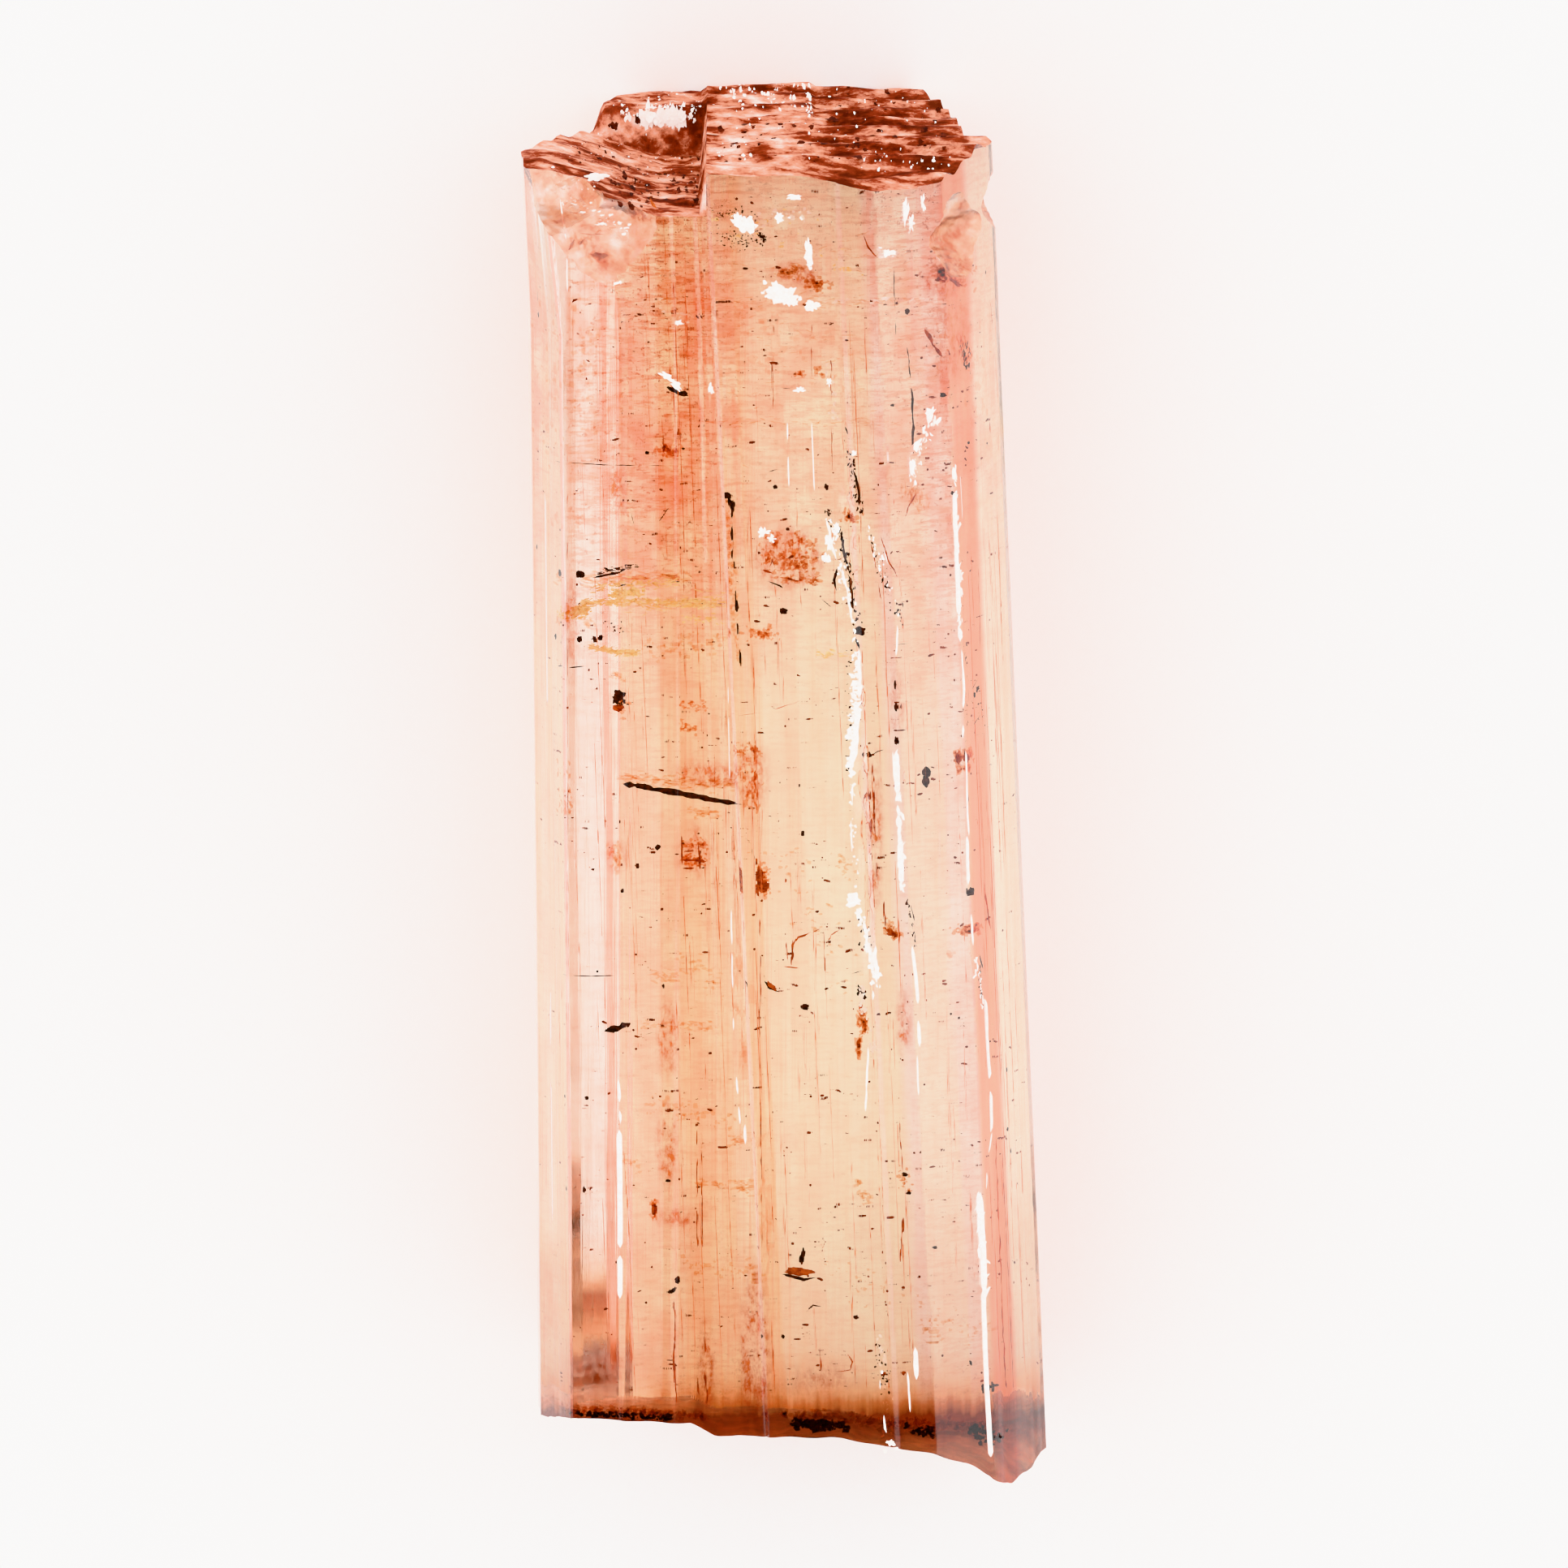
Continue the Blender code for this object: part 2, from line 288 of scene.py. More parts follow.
def fine_plan():
    """The same outline with points between, each with the striation that it lies on."""
    rng = random.Random(SEED)
    plan = section_plan()
    fine = []
    line, left_in_line = 0.0, 0.0
    for place_in, (index, low, high, height) in enumerate(plan):
        following = plan[(place_in + 1) % len(plan)]
        low_end, high_end = following[1:3] if following[0] == index else (1.0, 1.0)
        width = (corner_at(index + 1, 0) - corner_at(index, 0)).length
        name = CORNERS[index][0]
        spacing = FRONT_SPACING if name in FRONT_FACES else BACK_SPACING
        count = max(1, round((low_end - low) * width / spacing))
        for i in range(count):
            share = i / count
            if left_in_line <= 0:
                line, left_in_line = rng.uniform(-1, 1), rng.choice((0.09, 0.12, 0.2, 0.35, 0.6))
            left_in_line -= (low_end - low) * width / count
            still = name == "rest_right" or (share == 0 and low == 0)
            fine.append((
                index, mix(low, low_end, share), mix(high, high_end, share),
                mix(height, following[3], share), 0.0 if still else line,
            ))
    return fine


CHIPPED_LINE = 0.735     # share of the right front face's width where a ridge is chipped along its length
RIGHT_FACE_WIDTH = 4.1


def chipped(x, y, name, share):
    """Depth of the small chips along the ridges of the front faces."""
    depth = 0.0
    if name == "joint_right":
        band = 1 - smooth(0.0, 0.16, abs(share - CHIPPED_LINE) * RIGHT_FACE_WIDTH)
        along = smooth(9.5, 12.0, y) * (1 - smooth(25.2, 26.2, y))
        depth += 0.10 * band * along * max(0.0, noise.noise(Vector((x * 3.1, y * 1.6, 7.0))) + 0.15)
        edge = 1 - smooth(0.0, 0.14, (1 - share) * RIGHT_FACE_WIDTH)
        depth += 0.09 * edge * max(0.0, noise.noise(Vector((x * 2.5, y * 1.1, 3.0))) - 0.02)
    if name == "right_bevel":
        edge = 1 - smooth(0.0, 0.12, share)
        depth += 0.08 * edge * max(0.0, noise.noise(Vector((x * 2.5, y * 1.4, 13.0))) - 0.05)
    return depth


def relief(point, y, index, share, line):
    """Height of the fine relief off a prism face."""
    name = CORNERS[index][0]
    if name == "rest_right":
        return -0.004 * abs(noise.noise(Vector((point.x, y * 0.3, 1.0))))
    fade = 0.55 + 0.75 * noise.noise(Vector((line * 9.0, y / 4.5, index)))
    swell = SWELL * noise.noise(Vector((point.x / 2.6, y / 5.5, point.y / 2.6)))
    return line * LINE_DEPTH * fade + swell - chipped(point.x, y, name, share)


def outline_at(plan_row, y):
    """(x, z) of one outline point at a height y along the shaft."""
    index, low, high, height, line = plan_row
    start, end = corner_at(index, y), corner_at(index + 1, y)
    along = (end - start).normalized()
    outward = Vector((-along.y, along.x))
    share = mix(low, high, y / SHAFT_LENGTH)
    point = start.lerp(end, share)
    return point + outward * (height + relief(point, y, index, share, line))


def head_level(x, z):
    """Height of the head break along the shaft at a point of the section."""
    joint = corner_at(JOINT, SHAFT_LENGTH).x
    ripples = math.sin(2 * math.pi * (z + 0.45 * grain(x, z, 2.6, 3.0)) / RIPPLE_PITCH)
    if x > joint:
        sag = PLATEAU_SAG * smooth(0.2, 2.6, x) * smooth(6.0, 8.3, z)
        level = SHAFT_LENGTH - sag + RIPPLE_HEIGHT * ripples + GRAIN_HEIGHT * grain(x, z, 1.1, 5.0)
        ridge = 1 - 2 * abs(long_grain(x, z, 2.1, 0.42, 21.0))
        ridge += 0.5 * (1 - 2 * abs(long_grain(x, z, 0.9, 0.21, 22.0)))
        step = 0.10 * smooth(0.93, 0.99, x) * (1 - smooth(3.1, 3.3, z))
        return level + (0.055 * ridge - 0.03 - step)
    left_rise = TERRACE_LEFT_RISE * smooth(-2.6, -5.8, x)
    terrace = TERRACE_DEPTH - TERRACE_FRONT_RISE * smooth(2.0, 8.0, z) - left_rise
    on_ledge = (1 - smooth(BACK_LEDGE_Z - 0.1, BACK_LEDGE_Z + 0.1, z)) * smooth(
        BACK_LEDGE_X - 0.2, BACK_LEDGE_X + 0.2, x
    )
    depth = mix(terrace, BACK_LEDGE_DEPTH, on_ledge)
    level = SHAFT_LENGTH - depth + 0.5 * RIPPLE_HEIGHT * ripples + GRAIN_HEIGHT * grain(x, z, 0.9, 9.0)
    rough = long_grain(x, z, 0.35, 0.25, 31.0) + 0.5 * long_grain(x, z, 0.16, 0.12, 32.0)
    return level + 0.035 * rough


def foot_edge(x):
    if x <= FOOT_EDGE[0][0]:
        return FOOT_EDGE[0][1]
    for (x0, low), (x1, high) in zip(FOOT_EDGE, FOOT_EDGE[1:]):
        if x <= x1:
            return mix(low, high, (x - x0) / (x1 - x0))
    return FOOT_EDGE[-1][1]


def foot_level(x, z):
    """Height of the foot break along the shaft at a point of the section."""
    fall = foot_edge(x) + FOOT_TILT * (1 - z / 8.4)
    away = math.hypot(x - FOOT_HOLLOW_AT[0], z - FOOT_HOLLOW_AT[1])
    hollow = FOOT_HOLLOW * (1 - smooth(0.0, FOOT_HOLLOW_RADIUS, away))
    shell = 0.05 * math.sin(2 * math.pi * math.hypot(x - 6.4, z - 8.4) / 1.15)
    within = mix(0.3, 1.0, 1 - smooth(7.2, 8.2, z))
    rough = long_grain(x, z, 0.5, 0.4, 41.0) + 0.5 * long_grain(x, z, 0.2, 0.2, 42.0)
    return hollow - fall + (shell + GRAIN_HEIGHT * grain(x, z, 1.3, 2.0)) * within + 0.04 * rough * within


def fill_break(bm, rim, level, lines, material, upward):
    """Closes one end of the shaft with a fine surface that follows level(x, z) between the rim points."""
    flat = [Vector((v.co.x, v.co.z)) for v in rim]
    edges = [(i, (i + 1) % len(rim)) for i in range(len(rim))]
    xs, zs = [p.x for p in flat], [p.y for p in flat]
    rng = random.Random(SEED + material)
    points = list(flat)
    for line in lines:
        first = len(points)
        points += [Vector(p) for p in line]
        edges += [(i, i + 1) for i in range(first, len(points) - 1)]
    columns = int((max(xs) - min(xs)) / BREAK_SPACING)
    rows = int((max(zs) - min(zs)) / BREAK_SPACING)
    near_rim = {}
    cell = BREAK_SPACING * 0.62
    for p in points:
        near_rim.setdefault((int(p.x // cell), int(p.y // cell)), []).append(p)
    for i in range(columns + 1):
        for j in range(rows + 1):
            x = min(xs) + (i + 0.5 * (j % 2) + rng.uniform(-0.2, 0.2)) * BREAK_SPACING
            z = min(zs) + (j + rng.uniform(-0.2, 0.2)) * BREAK_SPACING
            cx, cz = int(x // cell), int(z // cell)
            close = (
                (x - p.x) ** 2 + (z - p.y) ** 2 < cell * cell
                for a in (-1, 0, 1) for b in (-1, 0, 1) for p in near_rim.get((cx + a, cz + b), ())
            )
            if not any(close):
                points.append(Vector((x, z)))
    made, _, faces, origins, _, _ = delaunay_2d_cdt(points, edges, [list(range(len(rim)))], 1, 1e-6)
    verts = []
    for point, origin in zip(made, origins):
        known = [o for o in origin if o < len(rim)]
        if known:
            verts.append(rim[known[0]])
        else:
            verts.append(bm.verts.new((point.x, level(point.x, point.y), point.y)))
    for face in faces:
        corners = [verts[i] for i in (face if upward else reversed(face))]
        if len(set(corners)) == 3:
            bm.faces.new(corners).material_index = material
    for vert in verts:
        if vert.is_valid and not vert.link_faces:
            bm.verts.remove(vert)


def build_crystal(materials):
    """The whole crystal as one closed fine mesh, in the shared frame."""
    plan = fine_plan()
    bm = bmesh.new()
    columns = []
    for row in plan:
        foot, head = outline_at(row, 0.0), outline_at(row, SHAFT_LENGTH)
        low, high = foot_level(foot.x, foot.y), head_level(head.x, head.y)
        column = []
        for ring in range(RINGS + 1):
            y = mix(low, high, ring / RINGS)
            point = outline_at(row, y)
            column.append(bm.verts.new((point.x, y, point.y)))
        columns.append(column)
    for left, right in zip(columns, columns[1:] + columns[:1]):
        for ring in range(RINGS):
            bm.faces.new((left[ring], left[ring + 1], right[ring + 1], right[ring])).material_index = 0
    joint = corner_at(JOINT, SHAFT_LENGTH).x
    riser = [[(joint + side, 0.12 + 0.1 * i) for i in range(81)] for side in (0.005, 0.045)]
    fill_break(bm, [c[-1] for c in columns], head_level, riser, 1, False)
    fill_break(bm, [c[0] for c in columns], foot_level, (), 2, True)
    for vert in bm.verts:
        vert.co = place(vert.co)
    bmesh.ops.recalc_face_normals(bm, faces=bm.faces)
    body = new_object("crystal_body", bm)
    for material in materials:
        body.data.materials.append(material)
    carve_chips(body)
    body.data.shade_smooth()
    body.data.set_sharp_from_angle(angle=math.radians(24))
    return body


def carve_chips(body):
    """Cuts the shell-shaped scars out of the corners and edges."""
    cutters = []
    for name, centre, radii in CHIPS:
        bm = bmesh.new()
        bmesh.ops.create_icosphere(bm, subdivisions=6, radius=1.0)
        hub = Vector((0.3, 0.9, -0.2)).normalized()
        for vert in bm.verts:
            way = vert.co.copy()
            swell = 1 + 0.030 * math.sin(9 * math.acos(max(-1.0, min(1.0, way.y))))
            swell += 0.05 * noise.noise(way * 2.3 + Vector(centre))
            rings = math.acos(max(-1.0, min(1.0, way.dot(hub))))
            swell += 0.006 * math.sin(46 * rings + 3 * noise.noise(way * 3)) + 0.008 * noise.noise(way * 9)
            vert.co = place(Vector(c + w * r * swell for c, w, r in zip(centre, way, radii)))
        for face in bm.faces:
            face.material_index = 3
        cutter = new_object(name, bm)
        for material in body.data.materials:
            cutter.data.materials.append(material)
        modifier = body.modifiers.new(name, "BOOLEAN")
        modifier.operation = "DIFFERENCE"
        modifier.solver = "EXACT"
        modifier.object = cutter
        cutters.append(cutter)
    bpy.context.view_layer.update()
    graph = bpy.context.evaluated_depsgraph_get()
    carved = bpy.data.meshes.new_from_object(body.evaluated_get(graph))
    body.modifiers.clear()
    body.data = carved
    for cutter in cutters:
        bpy.data.objects.remove(cutter, do_unlink=True)


# Materials

def set_stops(node, stops):
    """Gives a colour ramp its stops: a position, and a colour or a grey."""
    elements = node.color_ramp.elements
    while len(elements) < len(stops):
        elements.new(0.5)
    for element, (position, colour) in zip(elements, stops):
        element.position = position
        element.color = (*colour, 1.0) if isinstance(colour, tuple) else (colour, colour, colour, 1.0)


class Nodes:
    """A short way to write a material's node tree."""

    def __init__(self, name):
        self.material = bpy.data.materials.new(name)
        self.material.use_nodes = True
        self.tree = self.material.node_tree
        self.shader = self.tree.nodes["Principled BSDF"]
        self.output = self.tree.nodes["Material Output"]

    def add(self, kind, **settings):
        node = self.tree.nodes.new("ShaderNode" + kind)
        for key, value in settings.items():
            setattr(node, key, value)
        return node

    def join(self, source, target):
        self.tree.links.new(source, target)

    def feed(self, socket, value):
        if isinstance(value, bpy.types.NodeSocket):
            self.join(value, socket)
        else:
            socket.default_value = value

    def millimetres(self, scale=(1.0, 1.0, 1.0), start=(0.0, 0.0, 0.0)):
        """Place on the shaft in millimetres from start, stretched by scale."""
        coords = self.add("TexCoord")
        mapping = self.add("Mapping")
        mapping.inputs["Scale"].default_value = [s / MM for s in scale]
        mapping.inputs["Location"].default_value = [s * (m - o) for s, m, o in zip(scale, MIDDLE, start)]
        self.join(coords.outputs["Object"], mapping.inputs["Vector"])
        return mapping.outputs["Vector"]

    def noise(self, vector, scale, detail=2.0, roughness=0.5):
        node = self.add("TexNoise")
        self.join(vector, node.inputs["Vector"])
        node.inputs["Scale"].default_value = scale
        node.inputs["Detail"].default_value = detail
        node.inputs["Roughness"].default_value = roughness
        return node.outputs["Fac"]

    def ramp(self, value, stops):
        node = self.add("ValToRGB")
        set_stops(node, stops)
        self.join(value, node.inputs["Fac"])
        return node.outputs["Color"]

    def math(self, operation, a, b=0.0, clamp=False, c=0.0):
        node = self.add("Math", operation=operation, use_clamp=clamp)
        for socket, value in zip(node.inputs, (a, b, c)):
            self.feed(socket, value)
        return node.outputs[0]

    def blend(self, share, a, b, mode="MIX"):
        node = self.add("Mix", data_type="RGBA", blend_type=mode)
        self.feed(node.inputs[0], share)
        self.feed(node.inputs[6], (*a, 1.0) if isinstance(a, tuple) else a)
        self.feed(node.inputs[7], (*b, 1.0) if isinstance(b, tuple) else b)
        return node.outputs[2]

    def bump(self, height, strength, distance):
        node = self.add("Bump")
        node.inputs["Strength"].default_value = strength
        node.inputs["Distance"].default_value = distance * MM
        self.join(height, node.inputs["Height"])
        return node.outputs["Normal"]

    def set(self, **values):
        for key, value in values.items():
            self.feed(self.shader.inputs[key.replace("_", " ")], value)


ABSORBED_COLOUR = (0.99, 0.70, 0.42, 1.0)
ABSORBED_DENSITY = 5.0   # per metre


def fill_with_topaz(nodes):
    absorption = nodes.add("VolumeAbsorption")
    absorption.inputs["Color"].default_value = ABSORBED_COLOUR
    absorption.inputs["Density"].default_value = ABSORBED_DENSITY
    nodes.join(absorption.outputs["Volume"], nodes.output.inputs["Volume"])


# Growth zones, as the share of the width where each colour is reached, from left to right
CLEAR = (1.0, 0.995, 0.99)
ROSE = (1.0, 0.80, 0.68)
APRICOT = (1.0, 0.86, 0.66)
PEACH = (1.0, 0.90, 0.73)
CREAM = (1.0, 0.955, 0.83)
YELLOW = (1.0, 0.99, 0.87)
BLUSH = (1.0, 0.965, 0.945)
RED = (0.98, 0.29, 0.19)
ZONES = (
    (0.055, CLEAR), (0.122, CLEAR), (0.128, ROSE), (0.200, ROSE), (0.235, PEACH), (0.345, PEACH),
    (0.355, APRICOT), (0.440, PEACH), (0.455, CREAM), (0.480, CREAM), (0.490, APRICOT), (0.515, PEACH),
    (0.525, CREAM), (0.600, CREAM), (0.615, YELLOW), (0.680, YELLOW), (0.700, CREAM), (0.755, CREAM),
    (0.775, BLUSH), (0.902, BLUSH), (0.912, RED), (0.944, RED), (0.953, CLEAR),
)
ZONE_WIDTH = 13.6
ZONE_LEAN = 0.0455
# The rusty band round the foot: a length of shaft centred on y = 0, how it slants towards the back, and its
# colours from its low end to its high end
FOOT_BAND = 4.0
FOOT_BAND_SLANT = 0.3
FOOT_BAND_COLOURS = (
    (0.05, (0.50, 0.14, 0.05)), (0.26, (0.36, 0.08, 0.03)), (0.40, (0.15, 0.016, 0.006)),
    (0.52, (0.10, 0.010, 0.004)), (0.60, (0.50, 0.16, 0.07)), (0.66, (0.86, 0.52, 0.34)),
    (0.78, (1.0, 0.84, 0.72)), (0.95, (1.0, 1.0, 1.0)),
)

# Soft brown smudges on the front, in the photograph's pixels: middle, half sizes across and along, strength
SMUDGES = (
    (760, 1055, 18, 26, 0.6), (822, 1280, 17, 60, 0.8), (822, 1410, 17, 70, 0.8), (835, 1500, 44, 16, 0.5),
    (760, 608, 15, 52, 0.6), (1113, 1262, 13, 50, 0.6), (1168, 425, 34, 70, 0.7), (870, 1690, 15, 90, 0.6),
    (930, 1670, 24, 130, 0.9), (1078, 1030, 14, 130, 0.6), (785, 268, 34, 22, 0.7), (980, 337, 40, 18, 0.6),
    (704, 770, 14, 80, 0.6), (855, 1050, 30, 44, 0.6), (925, 955, 28, 60, 0.6), (972, 688, 52, 48, 0.9),
    (870, 955, 60, 22, 0.6), (1165, 345, 40, 26, 0.8), (1105, 868, 12, 50, 0.7), (740, 1690, 50, 46, 0.4),
    (1010, 1700, 60, 30, 0.3),
)
SMUDGE_COLOUR = (0.50, 0.07, 0.015)
SMUDGE_DEPTH = 3.0       # half the height that a smudge reaches through
SMUDGE_GAIN = 3.0        # tint at the middle of a smudge, against its strength


def smudged(nodes, colour):
    """Adds the soft smudges to a colour."""
    total = 0.0
    for px, py, across, along, strength in SMUDGES:
        centre = on_front(px, py)
        radii = (across / PIXELS_ACROSS, along / PIXELS_ALONG, SMUDGE_DEPTH)
        away = nodes.add("VectorMath", operation="LENGTH")
        nodes.join(nodes.millimetres([1 / r for r in radii], centre), away.inputs[0])
        gain = SMUDGE_GAIN * strength
        near = nodes.math("MULTIPLY_ADD", away.outputs["Value"], -gain, True, gain)
        total = nodes.math("ADD", near, total)
    mottle = nodes.noise(nodes.millimetres((6.0, 3.0, 6.0)), 1.0, 3.0, 0.7)
    amount = nodes.math("MULTIPLY", total, nodes.ramp(mottle, ((0.38, 0.15), (0.62, 1.0))), True)
    return nodes.blend(amount, colour, SMUDGE_COLOUR)


# Where the streaks, and where the clouds and the crackle, are strong, by the share of the width
STREAKY = ((0.12, 0.15), (0.20, 0.6), (0.34, 1.0), (0.52, 1.0), (0.56, 0.35), (0.78, 0.25))
CLOUDY = (
    (0.12, 0.1), (0.13, 1.0), (0.40, 1.0), (0.52, 0.45), (0.76, 0.4), (0.84, 0.9), (0.90, 0.9), (0.92, 0.2),
)
# Layers over the zones: the noise's scale, detail and roughness, strength by the noise, where, and colour
TINTS = (
    ((4.5, 0.10, 2.0), 2.0, 0.6, ((0.46, 0.0), (0.68, 0.6)), "streaky", (1.0, 0.72, 0.48)),     # streaks
    ((17.0, 0.16, 5.0), 2.0, 0.6, ((0.55, 0.0), (0.66, 0.45)), "streaky", (0.90, 0.42, 0.26)),  # hairs
    ((0.9, 0.5, 0.9), 3.0, 0.65, ((0.42, 0.0), (0.62, 0.9)), "upper", (0.96, 0.36, 0.22)),      # clouds
    ((1.6, 8.0, 2.0), 3.0, 0.75, ((0.50, 0.0), (0.58, 0.8)), "upper", (0.70, 0.22, 0.10)),      # crackle
    ((6.0, 7.0, 6.0), 2.0, 0.8, ((0.60, 0.0), (0.66, 0.9)), "upper", (0.34, 0.06, 0.02)),       # pepper
)


def zone_colour(nodes):
    """The growth zones that run up the shaft, from pale pink at the sides to clear yellow in the middle."""
    split = nodes.add("SeparateXYZ")
    nodes.join(nodes.millimetres(), split.inputs[0])
    x, y = split.outputs["X"], split.outputs["Y"]
    leaning = nodes.math("MULTIPLY_ADD", x, 0.2, True, 1.0)
    lean = nodes.math("MULTIPLY", nodes.math("MULTIPLY", y, ZONE_LEAN), leaning)
    wander = nodes.noise(nodes.millimetres((0.9, 0.06, 0.3)), 1.0, 1.0)
    wandering = nodes.math("MULTIPLY_ADD", wander, 0.24, False, -0.12)
    across = nodes.math("ADD", nodes.math("ADD", x, lean), wandering)
    share = nodes.math("MULTIPLY_ADD", across, 1 / ZONE_WIDTH, False, 0.5)
    zones = nodes.ramp(share, ZONES)
    streaky = nodes.ramp(share, STREAKY)
    upward = nodes.math("MULTIPLY_ADD", y, 1 / SHAFT_LENGTH, True, 0.0)
    upper = nodes.ramp(upward, ((0.0, 0.35), (0.55, 0.25), (0.74, 0.9), (1.0, 1.0)))
    cloudy = nodes.ramp(share, CLOUDY)
    masks = {"streaky": streaky, "upper": nodes.math("MULTIPLY", upper, cloudy)}
    for scale, detail, roughness, stops, mask, colour in TINTS:
        pattern = nodes.noise(nodes.millimetres(scale), 1.0, detail, roughness)
        amount = nodes.math("MULTIPLY", nodes.ramp(pattern, stops), masks[mask])
        zones = nodes.blend(amount, zones, colour)
    drips = nodes.noise(nodes.millimetres((3.5, 0.4, 1.5)), 1.0, 2.0, 0.7)
    height = nodes.math("ADD", y, nodes.math("MULTIPLY_ADD", drips, 0.7, False, -0.35))
    level = FOOT_BAND_SLANT * BREAK_TOP
    sunk = nodes.math("MULTIPLY_ADD", split.outputs["Z"], -FOOT_BAND_SLANT, False, level)
    height = nodes.math("ADD", height, sunk)
    foot = nodes.ramp(nodes.math("MULTIPLY_ADD", height, 1 / FOOT_BAND, True, 0.5), FOOT_BAND_COLOURS)
    return nodes.blend(1.0, smudged(nodes, zones), foot, "MULTIPLY")


def clear_material():
    nodes = Nodes("topaz_clear")
    lines = nodes.noise(nodes.millimetres((22.0, 0.30, 9.0)), 1.0, 1.0, 0.6)
    worn = nodes.noise(nodes.millimetres((2.0, 0.7, 2.0)), 1.0, 2.0, 0.6)
    nodes.set(
        Base_Color=zone_colour(nodes),
        Roughness=nodes.ramp(worn, ((0.45, 0.02), (0.70, 0.10))),
        IOR=TOPAZ_IOR,
        Transmission_Weight=1.0,
        Normal=nodes.bump(lines, 0.25, 0.010),
    )
    fill_with_topaz(nodes)
    return nodes.material


# Broken faces: colour by how stained the spot is, and how much paler it gets from left to right
# The head break's last, white stop is a painted glint; the darker stops are its stain
HEAD_STAINS_AND_GLINT = (
    (0.44, (0.075, 0.008, 0.003)), (0.52, (0.24, 0.034, 0.015)), (0.60, (0.78, 0.34, 0.22)),
    (0.72, (1.0, 0.88, 0.82)),
)
HEAD_LIFTS = ((0.0, 0.45), (0.35, 0.35), (0.40, 0.70), (0.55, 0.65), (0.62, 0.10), (1.0, 0.25))
FOOT_STAINS = ((0.44, (0.08, 0.008, 0.003)), (0.54, (0.30, 0.06, 0.02)), (0.68, (0.72, 0.27, 0.12)))
FOOT_LIFTS = ((0.10, 1.0), (0.33, 0.8), (0.45, 0.6), (0.65, 0.3), (0.80, 0.5), (0.90, 0.5), (0.95, 0.7))
SCAR_LIFTS = ((0.0, 0.0), (1.0, 0.0))
SCAR_STAINS = ((0.40, (0.50, 0.09, 0.03)), (0.50, (1.0, 0.55, 0.35)), (0.60, (1.0, 0.93, 0.88)))
LIFT = 0.12
LIFT_WIDTH = 12.0
BREAK_IOR = 1.12         # lower than topaz's, so that the stains show under less gloss


def break_material(name, colours, lifts, scale, roughness, transmission, ior):
    """A broken face: dark rusty stain in its hollows, frosty pink between, and painted white glints."""
    nodes = Nodes(name)
    ridges = nodes.noise(nodes.millimetres(scale), 1.0, 7.0, 0.68)
    blotches = nodes.noise(nodes.millimetres(tuple(0.4 * s for s in scale)), 1.0, 2.0)
    split = nodes.add("SeparateXYZ")
    nodes.join(nodes.millimetres(), split.inputs[0])
    level = nodes.math("ADD", nodes.math("MULTIPLY", ridges, 0.6), nodes.math("MULTIPLY", blotches, 0.4))
    lift = nodes.ramp(nodes.math("MULTIPLY_ADD", split.outputs["X"], 1 / LIFT_WIDTH, True, 0.5), lifts)
    level = nodes.math("ADD", level, nodes.math("MULTIPLY", lift, LIFT))
    nodes.set(
        Base_Color=nodes.ramp(level, colours),
        Roughness=roughness,
        IOR=ior,
        Specular_IOR_Level=0.15,
        Transmission_Weight=transmission,
        Normal=nodes.bump(ridges, 0.6, 0.04),
    )
    fill_with_topaz(nodes)
    return nodes.material


def plain_material(name, colour, roughness, speckle):
    """An inclusion, or a painted glint: one rough colour, mottled with another."""
    nodes = Nodes(name)
    mottle = nodes.noise(nodes.millimetres((7.0, 7.0, 7.0)), 1.0, 4.0, 0.6)
    nodes.set(
        Base_Color=nodes.blend(nodes.ramp(mottle, ((0.42, 0.0), (0.6, 1.0))), colour, speckle),
        Roughness=roughness,
        Specular_IOR_Level=0.1,
        Normal=nodes.bump(mottle, 0.5, 0.02),
    )
    return nodes.material


def tint_material(name, colour):
    """A thin film of stain in the crystal: it only colours what is seen through it."""
    nodes = Nodes(name)
    nodes.set(Base_Color=(*colour, 1.0), Roughness=0.0, IOR=1.001, Transmission_Weight=1.0)
    return nodes.material


# Inclusions, and the white and gold flakes painted as glints

def add_piece(name, bm, material):
    for vert in bm.verts:
        vert.co = place(vert.co)
    bmesh.ops.recalc_face_normals(bm, faces=bm.faces)
    piece = new_object(name, bm)
    piece.data.materials.append(material)
    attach(piece, "root")
    return piece


def add_grain(bm, centre, radii, turn, subdivisions, lumps, seed):
    """A lumpy grain, with radii along x, y and z before it is turned about z."""
    made = bmesh.ops.create_icosphere(bm, subdivisions=subdivisions, radius=1.0)["verts"]
    spin = Matrix.Rotation(turn, 3, "Z")
    for vert in made:
        way = vert.co.copy()
        size = 1 + lumps * noise.noise(way * 1.7 + Vector((seed, centre[0], centre[1])))
        size += 0.5 * lumps * noise.noise(way * 4.1 + Vector((centre[1], seed, 1.0)))
        vert.co = Vector(centre) + spin @ Vector(w * r * size for w, r in zip(way, radii))


def add_flake(bm, centre, across, along, thick, seed, jag, corners):
    """A thin ragged lens. across and along are its half-width vectors."""
    normal = across.cross(along).normalized() * thick
    rim = []
    for i in range(corners):
        angle = 2 * math.pi * i / corners
        reach = 1 + jag * noise.noise(Vector((math.cos(angle) * 1.9, math.sin(angle) * 1.9, seed)))
        reach += 0.5 * jag * noise.noise(Vector((math.cos(angle) * 4.7, math.sin(angle) * 4.7, seed)))
        rim.append(bm.verts.new(centre + (across * math.cos(angle) + along * math.sin(angle)) * reach))
    for side in (1, -1):
        tip = bm.verts.new(centre + normal * side)
        for a, b in zip(rim, rim[1:] + rim[:1]):
            bm.faces.new((tip, a, b) if side > 0 else (tip, b, a))


